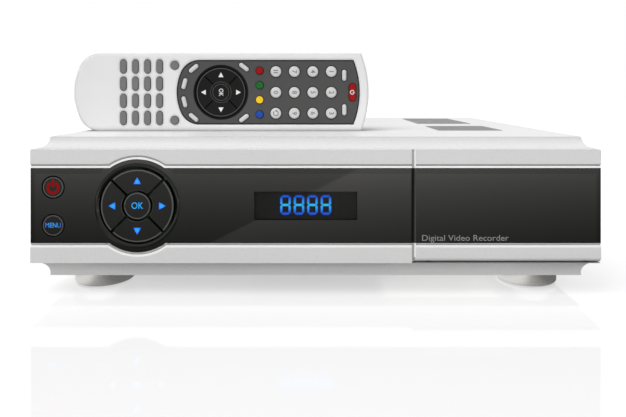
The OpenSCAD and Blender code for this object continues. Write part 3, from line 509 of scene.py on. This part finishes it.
def border(name, spans, ends, body):
    """Darker lines just proud of a black panel: along its top and bottom, open at the bulge, and at its ends."""
    z0, z1 = PANEL_LO.z + PANEL_INSET, PANEL_HI.z - PANEL_INSET
    bars = []
    for start, end in spans:
        bars += [bar(start, end, z1 - HAIRLINE, z1), bar(start, end, z0, z0 + HAIRLINE)]
    bars += [bar(start, end, z0 + HAIRLINE, z1 - HAIRLINE) for start, end in ends]
    prisms(name + "_border", bars, PANEL_FRONT - 0.03 * MM, PANEL_FRONT + 0.3 * MM, border_black, body)


def margin(name, spans, end, body):
    """The slightly duller margin of a black panel along its top and one end."""
    z0, z1 = PANEL_LO.z + PANEL_INSET + HAIRLINE, PANEL_HI.z - PANEL_INSET - HAIRLINE
    bars = [bar(start, stop, z1 - BAND_TOP, z1) for start, stop in spans] + [bar(*end, z0, z1 - BAND_TOP)]
    prisms(name + "_margin", bars, PANEL_FRONT - 0.02 * MM, PANEL_FRONT + 0.3 * MM, band_black, body)


panel_x0, panel_x1 = FASCIA_LO.x + 0.3 * MM, SPLIT - 0.2 * MM
margin_half = BULGE_HALF + BAND_TOP
border("fascia", [(panel_x0, NAV.x - BULGE_HALF), (NAV.x + BULGE_HALF, panel_x1)],
       [(panel_x0, panel_x0 + EDGE_LINE), (panel_x1 - HAIRLINE, panel_x1)], "recorder")
margin("fascia", [(panel_x0 + EDGE_LINE, NAV.x - margin_half), (NAV.x + margin_half, panel_x1 - HAIRLINE)],
       (panel_x0 + EDGE_LINE, panel_x0 + BAND_END), "recorder")
panel_x0, panel_x1 = DOOR_LO.x + 1.6 * MM, DOOR_HI.x - 0.3 * MM
border("door", [(panel_x0, panel_x1)], [(panel_x1 - EDGE_LINE, panel_x1)], "door")
margin("door", [(panel_x0, panel_x1 - EDGE_LINE)], (panel_x1 - BAND_END, panel_x1 - EDGE_LINE), "door")

# Fillers that close the gaps beside and above the shut door; the grey of the filler beside the white strips is
# painted shade of the gap
jamb_grey = finish_of("jamb_grey", (0.36, 0.36, 0.36), 0.5)
jamb_black = finish_of("jamb_black", (0.003, 0.003, 0.003), 0.5, specular=0.1)
DOOR_GAP = 0.25 * MM                             # between the top of the door and the moulding above it
gap_x0, gap_x1 = SPLIT + 0.02 * MM, DOOR_LO.x - 0.12 * MM
JAMB_NEAR, JAMB_FAR = FRONT + 0.4 * MM, FRONT + 6.0 * MM
prisms("door_jamb", [bar(gap_x0, gap_x1, PANEL_HI.z, DOOR_HI.z + DOOR_GAP - 0.05 * MM),
                     bar(gap_x0, gap_x1, DOOR_LO.z + 0.5 * MM, PANEL_LO.z)],
       JAMB_NEAR, JAMB_FAR, jamb_grey, "recorder")
prisms("door_jamb_panel", [bar(gap_x0, gap_x1, PANEL_LO.z, PANEL_HI.z)], JAMB_NEAR, JAMB_FAR, jamb_black, "recorder")
prisms("door_top_seal", [bar(DOOR_LO.x, DOOR_HI.x - 0.3 * MM, DOOR_HI.z + 0.1 * MM, DOOR_HI.z + DOOR_GAP)],
       FRONT + 0.7 * MM, JAMB_FAR, trim_white, "recorder")

# ------------------------------------------------------------------ marks on the front

icon_red = finish_of("icon_red", (0.20, 0.001, 0.001), 0.5, glow=0.10, glow_colour=(0.8, 0.0, 0.0), specular=0.08)
print_grey = finish_of("print_grey", (0.25, 0.25, 0.25), 0.4)

power, menu = middle("power_button"), middle("menu_button")
key_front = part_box("power_button")[0].y


def power_symbol(cx, cz, radius, stroke, turn=0.0, rise=1.3):
    """Outlines of an open ring with a bar in its gap, which rises to rise times the radius."""
    mark = [band(cx, cz, radius - stroke, radius, 118, 422),
            bar(cx - stroke * 0.42, cx + stroke * 0.42, cz + radius * 0.15, cz + radius * rise)]
    return [turned_outline(outline, cx, cz, turn) for outline in mark]


prisms("power_mark", power_symbol(power.x, power.z - 0.3 * MM, 3.9 * MM, 1.6 * MM),
       key_front - PRINT, key_front + 0.15 * MM, icon_red, "power_button")
words("menu_mark", "MENU", (menu.x, menu.z), key_front - PRINT, 3.0 * MM,
      lit_spot("menu_light", (menu.x, menu.z), 5.5 * MM, MENU_LIGHT, DEEP, 0.4), "menu_button",
      width=9.2 * MM)
words("ok_mark", "OK", (NAV.x, NAV.z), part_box("ok_button")[0].y - PRINT, 4.0 * MM,
      lit_gradient("ok_light", [(0.0, AZURE), (0.5, TEAL), (1.0, AZURE)], NAV.z, 3 * MM, 0.45), "ok_button",
      width=7.2 * MM, bold=0.03 * MM)
for body, place in (("power_button", power), ("menu_button", menu)):
    prisms(body.replace("button", "ring"), ring(place.x, place.z, 5.45 * MM, 6.05 * MM), key_front + 0.02 * MM,
           key_front + 0.5 * MM, ring_grey, body)


def triangle(cx, cz, width, height):
    """Outline of a triangle that points up."""
    return [(cx - width / 2, cz - height / 2), (cx + width / 2, cz - height / 2), (cx, cz + height / 2)]


ARROW_AT = 15.1 * MM                             # from the middle of the keys to the middle of an arrow
ARROW_W, ARROW_H = 4.5 * MM, 4.1 * MM
for body, degrees in (("up_key", 0), ("left_key", 90), ("down_key", 180), ("right_key", 270)):
    outline = turned_outline(triangle(NAV.x, NAV.z + ARROW_AT, ARROW_W, ARROW_H), NAV.x, NAV.z, degrees)
    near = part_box(body)[0].y
    spot = (sum(x for x, z in outline) / 3, sum(z for x, z in outline) / 3)
    prisms(body.replace("_key", "_arrow"), [outline], near - PRINT, near + 0.35 * MM,
           lit_spot("arrow_light_" + body, spot, ARROW_W * 0.5, ARROW_LIGHT, DEEP, 0.58), body)
    rim = [band(NAV.x, NAV.z, 20.7 * MM, 21.6 * MM, 47.3 + degrees, 132.7 + degrees)]
    prisms(body.replace("_key", "_rim"), rim, near + 0.02 * MM, near + 0.7 * MM, ring_grey, body, 0.05)
    inner = [band(NAV.x, NAV.z, 9.35 * MM, 9.75 * MM, 51 + degrees, 129 + degrees)]
    prisms(body.replace("_key", "_inner_rim"), inner, near + 0.2 * MM, near + 0.8 * MM, ring_faint, body)

ok_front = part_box("ok_button")[0].y
prisms("ok_rim", ring(NAV.x, NAV.z, 7.15 * MM, 7.85 * MM), ok_front + 0.05 * MM, ok_front + 0.7 * MM, ring_grey,
       "ok_button", 0.05)

words("door_title", "Digital Video Recorder", (PANEL_LO.x + 30.5 * MM, PANEL_LO.z + 2.9 * MM), PANEL_FRONT - PRINT,
      3.6 * MM, print_grey, "door", width=52 * MM)

# ------------------------------------------------------------------ grilles of the cover

# Painted shade: the grilles are grey to stand in for the dark inside the cover's slots.
vent_grey = finish_of("vent_grey", (0.29, 0.29, 0.29), 0.5, grain=2000.0, bump=0.1)
VENT_LO, VENT_HI = 87.4 * MM, 130.6 * MM         # the slots' ends across the cover
VENT_PITCH, VENT_SLOT = 4 * MM, 2.2 * MM
VENT_PATCHES = ((60.5 * MM, 11), (139.5 * MM, 20))  # depth where each patch of slots begins, and their number
CAP, SINK = 0.35 * MM, 0.3 * MM                  # how far the grille stands over the cover and reaches into it


def boxes(name, corners, finish, body, edge=0.0):
    """Closed boxes, each given as its lowest and highest corner."""
    bm = bmesh.new()
    for lo, hi in corners:
        v = [bm.verts.new((x, y, z)) for x in (lo[0], hi[0]) for y in (lo[1], hi[1]) for z in (lo[2], hi[2])]
        for face in ((0, 1, 3, 2), (4, 6, 7, 5), (0, 4, 5, 1), (2, 3, 7, 6), (0, 2, 6, 4), (1, 5, 7, 3)):
            bm.faces.new([v[i] for i in face])
    return piece_from(bm, name, finish, body, edge)


for k, (depth, count) in enumerate(VENT_PATCHES):
    start, end = FRONT + depth, FRONT + depth + count * VENT_PITCH
    ribs = []
    half = (VENT_PITCH - VENT_SLOT) / 2
    for i in range(count + 1):
        y = start + i * VENT_PITCH
        ribs.append(((VENT_LO, y - half, COVER_TOP - SINK), (VENT_HI, y + half, COVER_TOP + CAP)))
    for x0, x1 in ((VENT_LO - 0.8 * MM, VENT_LO + 0.3 * MM), (VENT_HI - 0.3 * MM, VENT_HI + 0.8 * MM)):
        ribs.append(((x0, start - 0.9 * MM, COVER_TOP - SINK), (x1, end + 0.9 * MM, COVER_TOP + CAP)))
    boxes(f"cover_grille_{k + 1}", ribs, vent_grey, "recorder", 0.12)

# ------------------------------------------------------------------ remote control

REMOTE_LO, REMOTE_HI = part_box("remote_back_shell")
print_dark = finish_of("print_dark", (0.20, 0.20, 0.20), 0.4)
print_light = finish_of("print_light", (0.80, 0.80, 0.80), 0.35)
pad_line = finish_of("pad_line", (0.001, 0.001, 0.001), 0.9, specular=0.0)
REMOTE_MID_Z = (REMOTE_LO.z + REMOTE_HI.z) / 2
PAD = middle("remote_nav_pad")
PAD_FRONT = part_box("remote_nav_pad")[0].y
OK_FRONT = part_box("remote_ok_key")[0].y
KEY_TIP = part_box("remote_silver_keys")[0].y
PRINT_BACK = 0.2 * MM                            # how far printed marks reach into the remote's keys
PAD_ARROW_AT, PAD_ARROW_W, PAD_ARROW_H = 12.2 * MM, 3.6 * MM, 3.3 * MM
SCORE_START, SCORE_END, HALF_SCORE = 6.75 * MM, 17.1 * MM, 0.35 * MM  # the grooves between the pad's four parts

for turn, name in ((0, "up"), (90, "left"), (180, "down"), (270, "right")):
    outline = turned_outline(triangle(PAD.x, PAD.z + PAD_ARROW_AT, PAD_ARROW_W, PAD_ARROW_H), PAD.x, PAD.z, turn)
    prisms("remote_" + name + "_arrow", [outline], PAD_FRONT - PRINT, PAD_FRONT + PRINT_BACK, print_light,
           "remote_nav_pad")
    score = turned_outline(bar(PAD.x - HALF_SCORE, PAD.x + HALF_SCORE, PAD.z + SCORE_START, PAD.z + SCORE_END),
                           PAD.x, PAD.z, 45 + turn)
    prisms("remote_" + name + "_score", [score], PAD_FRONT - 0.03 * MM, PAD_FRONT + PRINT_BACK, pad_line,
           "remote_nav_pad")
words("remote_ok_mark", "OK", (PAD.x, PAD.z), OK_FRONT - PRINT, 3.1 * MM, print_light, "remote_ok_key", turn=90,
      width=5.4 * MM, bold=0.04 * MM)
prisms("remote_ok_rim", ring(PAD.x, PAD.z, 5.5 * MM, 5.85 * MM), OK_FRONT - PRINT, OK_FRONT + PRINT_BACK, ring_grey,
       "remote_ok_key")
prisms("remote_pad_rim", ring(PAD.x, PAD.z, 16.4 * MM, 16.85 * MM) + ring(PAD.x, PAD.z, 7.0 * MM, 7.3 * MM),
       PAD_FRONT - PRINT, PAD_FRONT + PRINT_BACK, ring_grey, "remote_nav_pad")


def remote_place(u, v):
    """The x and z of a place on the remote, u mm along it and v mm up from its lower edge."""
    return REMOTE_LO.x + u * MM, REMOTE_LO.z + v * MM


remote_power = middle("remote_power_key")
power_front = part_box("remote_power_key")[0].y
prisms("remote_power_mark", power_symbol(remote_power.x - 0.2 * MM, remote_power.z, 1.6 * MM, 0.5 * MM, -90, 1.15),
       power_front - PRINT, power_front + PRINT_BACK, print_light, "remote_power_key")

# First place and step of the number keys, along the remote (u) and up it (v)
NUMBER_U, NUMBER_STEP_U = 140.3, 12.85
NUMBER_V, NUMBER_STEP_V = 12.4, 14.5
KEY_LABELS = (("loop", "0", "pause"), ("9", "8", "7"), ("6", "5", "4"), ("3", "2", "1"))
for i, column in enumerate(KEY_LABELS):
    for j, label in enumerate(column):
        x, z = remote_place(NUMBER_U + i * NUMBER_STEP_U, NUMBER_V + j * NUMBER_STEP_V)
        name = "remote_label_" + label
        if label == "pause":
            bars = [bar(x - 1.6 * MM, x + 1.6 * MM, z + (s - 0.35) * MM, z + (s + 0.35) * MM) for s in (-0.8, 0.8)]
            prisms(name, bars, KEY_TIP - PRINT, KEY_TIP + PRINT_BACK, print_dark, "remote")
        elif label == "loop":
            tip = turned_outline(triangle(x, z + 1.7 * MM, 1.5 * MM, 1.5 * MM), x, z + 1.7 * MM, 90)
            prisms(name, [band(x, z, 1.4 * MM, 1.95 * MM, 130, 420), tip], KEY_TIP - PRINT, KEY_TIP + PRINT_BACK,
                   print_dark, "remote")
        else:
            words(name, label, (x, z), KEY_TIP - PRINT, 3.3 * MM, print_dark, "remote", turn=90, bold=0.05 * MM)


def remote_edge(u0, u1, half, end_r, corner_r, tip_r, side):
    """Half of an outline of the remote's shape, above (side 1) or below (side -1) its middle."""
    reach = math.sqrt((end_r - corner_r) ** 2 - (half - corner_r) ** 2)
    turn = math.atan2(half - corner_r, -reach)
    arcs = ((u0 + end_r, 0, end_r, math.pi, turn), (u0 + end_r - reach, half - corner_r, corner_r, turn, math.pi / 2),
            (u1 - tip_r, 0, tip_r, math.asin(half / tip_r), 0))
    points = []
    steps = 24
    for cu, cv, r, start, end in arcs:
        for i in range(steps + 1):
            a = start + (end - start) * i / steps
            points.append((REMOTE_LO.x + (cu + r * math.cos(a)) * MM,
                           REMOTE_MID_Z + side * (cv + r * math.sin(a)) * MM))
    return points


def remote_band(name, near, width, shape, finish):
    """A thin line that follows the remote's shape."""
    u0, u1, *radii = shape
    inner = (u0 + width, u1 - width, *(r - width for r in radii))
    prisms(name, [remote_edge(*shape, side) + remote_edge(*inner, side)[::-1] for side in (1, -1)],
           near, near + 0.3 * MM, finish, "remote")


def pill_band(cx, cz, length, width, rim, degrees):
    """The two halves of a line round a pill whose long axis is turned by degrees from +x."""
    reach, r_in, r_out = (length - width) / 2, width / 2, width / 2 + rim
    halves = []
    for side in (0, 180):
        half = []
        for r, order in ((r_out, 1), (r_in, -1)):
            arc = [(cx, cz - r)] + [(cx + reach + r * math.cos(math.radians(a)), cz + r * math.sin(math.radians(a)))
                                    for a in range(-90, 91, 15)] + [(cx, cz + r)]
            half += arc[::order]
        halves.append(turned_outline(half, cx, cz, side + degrees))
    return halves


PLATE_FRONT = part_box("remote_face_plate")[0].y
SHELL_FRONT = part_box("remote_front_shell")[0].y
PLATE_SHAPE = (71.3, 198.6, 22.4, 34.7, 13.8, 60.4)  # ends, half width and radii of the plate, in mm
remote_band("remote_plate_outline", PLATE_FRONT - 0.04 * MM, 0.7, PLATE_SHAPE, border_black)
# Painted shadow: dark rims round the remote's keys and round its pad stand in for the shade in the gaps round them.
rim_shadow = finish_of("rim_shadow", (0.075, 0.075, 0.075), 0.6, specular=0.2)
rim_dark = finish_of("rim_dark", (0.008, 0.008, 0.008), 0.6, specular=0.2)
RIM_LIFT, RIM_BACK = 0.03 * MM, 0.3 * MM         # how far a rim stands out and reaches in

# The grey keys: four rows of four pills, and two round ones beside the plate, at places along and up the remote
GREY_U, GREY_STEP_U = 34.2, 8.4
GREY_V, GREY_STEP_V = 9.1, 11.95
GREY_LONG, GREY_WIDE = 9.0 * MM, 3.6 * MM
GREY_ROUND_U, GREY_ROUND_V = 69.9, (7.5, 45.8)
grey_key_shadows = []
for i in range(4):
    for j in range(4):
        place = remote_place(GREY_U + i * GREY_STEP_U, GREY_V + j * GREY_STEP_V)
        grey_key_shadows += pill_band(*place, GREY_LONG, GREY_WIDE, 0.55 * MM, 90)
for v in GREY_ROUND_V:
    grey_key_shadows += ring(*remote_place(GREY_ROUND_U, v), 2.6 * MM, 3.1 * MM)
prisms("remote_key_rims", grey_key_shadows, SHELL_FRONT - RIM_LIFT, SHELL_FRONT + RIM_BACK, rim_shadow, "remote")

# On the plate: round the number keys, round four of the silver pills (place and turn) and round the pad
SILVER_PILLS = ((118.1, 44.5, -38), (118.1, 9, 38), (187.9, 38.8, 90), (187.9, 14.8, 90))
plate_key_shadows = []
for i in range(4):
    for j in range(3):
        place = remote_place(NUMBER_U + i * NUMBER_STEP_U, NUMBER_V + j * NUMBER_STEP_V)
        plate_key_shadows += ring(*place, 3.85 * MM, 4.35 * MM)
for u, v, degrees in SILVER_PILLS:
    plate_key_shadows += pill_band(*remote_place(u, v), 8.1 * MM, 3.3 * MM, 0.4 * MM, degrees)
plate_key_shadows += ring(PAD.x, PAD.z, 18.4 * MM, 19.2 * MM)
prisms("remote_plate_rims", plate_key_shadows, PLATE_FRONT - RIM_LIFT, PLATE_FRONT + RIM_BACK, rim_dark, "remote")

# ------------------------------------------------------------------ back

FLANGE_TIP = BACK + 1.4 * MM                     # where the collar round each phono socket ends
SOCKET_COLOURS = {
    "audio_left_out": (0.75, 0.75, 0.75),
    "audio_right_out": (0.45, 0.01, 0.01),
    "component_pr_out": (0.45, 0.01, 0.01),
    "component_pb_out": (0.01, 0.06, 0.42),
    "component_y_out": (0.01, 0.20, 0.03),
    "composite_out": (0.70, 0.45, 0.02),
}
# Painted shade: this dark steel draws the screws' cross recesses as flat crosses in place of their shaded hollows.
steel_recess = finish_of("steel_recess", (0.05, 0.05, 0.05), 0.5, metallic=0.6)
contact_gold = finish_of("contact_gold", (0.72, 0.50, 0.16), 0.25, metallic=1.0, grain=600.0)
for mount in frame["record"]["mounts"]:
    x, y, z = mount["pos_m"]
    if mount["name"] in SOCKET_COLOURS:
        lathe(mount["name"] + "_ring", [[(4.12 * MM, FLANGE_TIP - 0.2 * MM), (5.3 * MM, FLANGE_TIP - 0.2 * MM),
                                         (5.2 * MM, FLANGE_TIP + 0.7 * MM), (4.12 * MM, FLANGE_TIP + 0.7 * MM)]],
              [(x, z)], finish_of(mount["name"] + "_colour", SOCKET_COLOURS[mount["name"]], 0.35), "recorder",
              48, 0.15)
        lathe(mount["name"] + "_shell", [[(1.75 * MM, BACK + 8.6 * MM), (4.15 * MM, BACK + 8.6 * MM),
                                          (4.15 * MM, BACK + 9.02 * MM), (1.75 * MM, BACK + 9.02 * MM)]],
              [(x, z)], "socket_metal", "recorder", 48, 0.1)
    elif mount["kind"] == "pin":
        turns = [[(4.5 * MM, BACK + (3 + 0.8 * i) * MM), (4.78 * MM, BACK + (3.25 + 0.8 * i) * MM),
                  (4.5 * MM, BACK + (3.5 + 0.8 * i) * MM)] for i in range(9)]
        lathe(mount["name"] + "_thread", turns, [(x, z)], "socket_metal", "recorder", 48)

REAR_SCREWS = ((-77, 79), (-27, 79), (-77, 29), (-27, 29), (-152, 86), (3, 80), (152, 86), (3, 14))
ARM, HALF_SLOT = 1.7 * MM, 0.3 * MM              # length and half width of each arm of a screw's cross
recess = []
for x, z in ((x * MM, z * MM) for x, z in REAR_SCREWS):
    recess += [bar(x - ARM, x + ARM, z - HALF_SLOT, z + HALF_SLOT),
               bar(x - HALF_SLOT, x + HALF_SLOT, z + HALF_SLOT, z + ARM),
               bar(x - HALF_SLOT, x + HALF_SLOT, z - ARM, z - HALF_SLOT)]
SCREW_TIP = BACK + 1.8 * MM
prisms("rear_screw_recesses", recess, SCREW_TIP - 0.3 * MM, SCREW_TIP + 0.02 * MM, steel_recess, "recorder")

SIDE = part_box("case_screws")[1].x
SIDE_SCREW_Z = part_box("base_pan")[0].z + 12.6 * MM
for side, label in ((1, "right"), (-1, "left")):
    slots = []
    for depth in (60 * MM, 215 * MM):
        y = FRONT + depth
        for dy, dz in ((ARM, HALF_SLOT), (HALF_SLOT, ARM)):
            x = sorted((side * (SIDE - 0.3 * MM), side * (SIDE + 0.02 * MM)))
            slots.append(((x[0], y - dy, SIDE_SCREW_Z - dz), (x[1], y + dy, SIDE_SCREW_Z + dz)))
    boxes(label + "_screw_recesses", slots, steel_recess, "recorder")

print_rear = finish_of("print_rear", (0.03, 0.03, 0.03), 0.5)
# Text, x, z and height of each printed label, in mm
REAR_LABELS = (("1", 137, 70, 3.0), ("IN", 137, 52, 2.4), ("LOOP", 137, 41, 2.4), ("L", -5, 73.5, 2.6),
               ("R", 11, 73.5, 2.6), ("TV", 76, 34, 2.8), ("AUX", 76, 58, 2.8), ("0", -105, 16, 3.0),
               ("NETWORK", 106, 36.5, 2.2))
for text, x, z, height in REAR_LABELS:
    words("rear_label_" + text.lower(), text, (x * MM, z * MM), BACK + PRINT, height * MM, print_rear, "recorder",
          facing=-1)

# Contact blades in the two 21-way sockets: two rows of ten in each
SCART_X, SCART_Z, BLADE_PITCH = 48, (34, 58), 3.8
blades = []
for z in (z + row for z in SCART_Z for row in (-2, 2)):
    for i in range(10):
        x = SCART_X + (i - 4.5) * BLADE_PITCH
        blades.append((((x - 0.35) * MM, BACK - 5.8 * MM, (z - 0.25) * MM),
                       ((x + 0.35) * MM, BACK + 0.6 * MM, (z + 0.25) * MM)))
boxes("socket_contacts", blades, contact_gold, "recorder")

# ------------------------------------------------------------------ camera, light and floor

CAMERA_BACK = 0.325                              # distance of the camera in front of the face
CAMERA_UP = 0.1217
LENS = 31.39                                     # mm, on a sensor 36 mm wide
SHIFT_X, SHIFT_Y = -0.0043, -0.1877              # they move the picture, so that the camera stays level

camera = bpy.data.objects.new("camera", bpy.data.cameras.new("camera"))
bpy.context.scene.collection.objects.link(camera)
camera.location = (0, FRONT - CAMERA_BACK, CAMERA_UP)
camera.rotation_euler = (math.pi / 2, 0, 0)
camera.data.sensor_width = 36.0
camera.data.lens = LENS
camera.data.shift_x = SHIFT_X
camera.data.shift_y = SHIFT_Y
camera.data.clip_start = 0.01
bpy.context.scene.camera = camera
bpy.context.scene.view_settings.view_transform = "Standard"

WORLD_LIGHT = 0.62                               # what lights the object; the camera sees a white background
world = bpy.data.worlds.new("studio")
bpy.context.scene.world = world
world.use_nodes = True
sky = world.node_tree
backdrop = sky.nodes["Background"]
backdrop.inputs["Color"].default_value = (1, 1, 1, 1)
path = sky.nodes.new("ShaderNodeLightPath")
strength = sky.nodes.new("ShaderNodeMapRange")
strength.inputs["To Min"].default_value = WORLD_LIGHT
strength.inputs["To Max"].default_value = 1.0
sky.links.new(path.outputs["Is Camera Ray"], strength.inputs["Value"])
sky.links.new(strength.outputs["Result"], backdrop.inputs["Strength"])


def stage_grid(name, corner, steps_a, steps_b, material, brightness=None):
    """A stage piece through corner(a, b) for a and b from 0 to 1, with a brightness stored at each point."""
    bm = bmesh.new()
    layer = bm.verts.layers.float.new("brightness")
    rows = []
    for i in range(steps_a + 1):
        row = []
        for j in range(steps_b + 1):
            vert = bm.verts.new(corner(i / steps_a, j / steps_b))
            vert[layer] = brightness(i / steps_a, j / steps_b) if brightness else 0.0
            row.append(vert)
        rows.append(row)
    for i in range(steps_a):
        for j in range(steps_b):
            bm.faces.new((rows[i][j], rows[i + 1][j], rows[i + 1][j + 1], rows[i][j + 1]))
    mesh = bpy.data.meshes.new(name)
    bm.to_mesh(mesh)
    bm.free()
    mesh.materials.append(material)
    plane = bpy.data.objects.new(name, mesh)
    bpy.context.scene.collection.objects.link(plane)
    return plane


# The floor is a pale acrylic table lit a little from within, so its shadows stay light and its shine is faint
FLOOR = 6.0                                      # half its width
FLOOR_GLOW = 0.55
floor_finish = finish_of("floor", (0.40, 0.40, 0.40), 0.05, cloudy=0.0, rough_spread=0.01, grain=60.0,
                         specular=1.0, glow=FLOOR_GLOW, glow_colour=(1, 1, 1))
floor_tree = floor_finish.node_tree
seen = floor_tree.nodes.new("ShaderNodeLightPath")
shine = floor_tree.nodes.new("ShaderNodeMath")
shine.operation = "MULTIPLY"
shine.inputs[1].default_value = FLOOR_GLOW
floor_tree.links.new(seen.outputs["Is Camera Ray"], shine.inputs[0])
floor_tree.links.new(shine.outputs["Value"], floor_tree.nodes["Principled BSDF"].inputs["Emission Strength"])
stage_grid("floor", lambda a, b: (FLOOR * (2 * a - 1), FLOOR * (2 * b - 1), 0), 1, 1, floor_finish)


def reflector_finish():
    """Emission of the brightness stored on the card, on its upper side only."""
    material = bpy.data.materials.new("reflector")
    material.use_nodes = True
    tree = material.node_tree
    tree.nodes.remove(tree.nodes["Principled BSDF"])
    stored = tree.nodes.new("ShaderNodeAttribute")
    stored.attribute_name = "brightness"
    glow = tree.nodes.new("ShaderNodeEmission")
    clear = tree.nodes.new("ShaderNodeBsdfTransparent")
    side = tree.nodes.new("ShaderNodeNewGeometry")
    pick = tree.nodes.new("ShaderNodeMixShader")
    glow.inputs["Color"].default_value = (1.0, 0.99, 0.94, 1)
    tree.links.new(stored.outputs["Fac"], glow.inputs["Strength"])
    tree.links.new(side.outputs["Backfacing"], pick.inputs["Fac"])
    tree.links.new(glow.outputs["Emission"], pick.inputs[1])
    tree.links.new(clear.outputs["BSDF"], pick.inputs[2])
    tree.links.new(pick.outputs["Shader"], tree.nodes["Material Output"].inputs["Surface"])
    return material


reflector_card_finish = reflector_finish()


def reflector(name, corner, brightness):
    """A studio card that only shows in glossy surfaces, from above."""
    card = stage_grid(name, corner, 40, 24, reflector_card_finish, brightness)
    for ray in ("camera", "diffuse", "transmission", "volume_scatter", "shadow"):
        setattr(card, "visible_" + ray, False)


CARD_NEAR, CARD_FAR, CARD_HALF = 0.01, 0.75, 1.3  # depth in front of the face, and half width
CARD_SLOPE = 2.5                                  # brightness for each metre in front of the face
STREAK_NEAR, STREAK_FAR = 0.085, 0.60
STREAK_LEFT_NEAR, STREAK_LEFT_FAR = -0.092, 0.095
STREAK_RIGHT_NEAR, STREAK_RIGHT_FAR = 0.215, 0.48


def line(a, low, high):
    """The value at a, from low at 0 to high at 1."""
    return low + (high - low) * a


def card_depth(b):
    return line(b, CARD_FAR, CARD_NEAR)


def streak_depth(b):
    return line(b, STREAK_FAR, STREAK_NEAR)


def streak_left(depth):
    return line((depth - STREAK_NEAR) / (STREAK_FAR - STREAK_NEAR), STREAK_LEFT_NEAR, STREAK_LEFT_FAR)


def streak_right(depth):
    return line((depth - STREAK_NEAR) / (STREAK_FAR - STREAK_NEAR), STREAK_RIGHT_NEAR, STREAK_RIGHT_FAR)


reflector("gradient_card",
          lambda a, b: (line(a, -CARD_HALF, CARD_HALF), FRONT - card_depth(b), 0.0005),
          lambda a, b: CARD_SLOPE * card_depth(b))
reflector("streak_card",
          lambda a, b: (line(a, streak_left(streak_depth(b)), streak_right(streak_depth(b))),
                        FRONT - streak_depth(b), 0.001),
          lambda a, b: CARD_SLOPE * streak_depth(b) + (1 - a) * (0.25 + 0.7 * streak_depth(b)))


# Cards on the floor at the front feet, light on their left and dark on their right, that the metal feet show:
# places in mm to the right of a foot's middle, with the brightness there
FOOT_RADIUS = 18.5 * MM
FOOT_CARD_HALF = 90                              # half the width of a card, in mm
FOOT_CARD = ((-90, 0.70), (-34, 0.72), (-22, 0.95), (-12, 0.85), (-4, 0.45), (6, 0.34), (16, 0.20), (90, 0.14))


def foot_card(mm):
    """Brightness of a foot's card at a place."""
    for (x0, b0), (x1, b1) in zip(FOOT_CARD, FOOT_CARD[1:]):
        if mm <= x1:
            return line((mm - x0) / (x1 - x0), b0, b1)
    return FOOT_CARD[-1][1]


FEET_LO, FEET_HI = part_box("feet")
for side, foot_x in ((0, FEET_LO.x + FOOT_RADIUS), (1, FEET_HI.x - FOOT_RADIUS)):
    reflector(f"foot_card_{side}",
              lambda a, b, x=foot_x: (x + line(a, -FOOT_CARD_HALF, FOOT_CARD_HALF) * MM,
                                      FRONT + line(b, -45, 75) * MM, 0.0008),
              lambda a, b: foot_card(line(a, -FOOT_CARD_HALF, FOOT_CARD_HALF)))


def lamp(name, kind, place, target, energy, **settings):
    """A light at place that faces target."""
    light = bpy.data.lights.new(name, kind)
    light.energy = energy
    for key, value in settings.items():
        setattr(light, key, value)
    holder = bpy.data.objects.new(name, light)
    holder.location = place
    holder.rotation_euler = (Vector(target) - Vector(place)).to_track_quat("-Z", "Y").to_euler()
    holder.visible_glossy = False
    bpy.context.scene.collection.objects.link(holder)


lamp("sun", "SUN", (-0.6, -0.4, 1.2), (0, 0, 0), energy=1.78, angle=math.radians(40))
lamp("front_fill", "SUN", (-0.1, -1.0, 0.3), (0, 0, 0), energy=0.85, angle=math.radians(50))
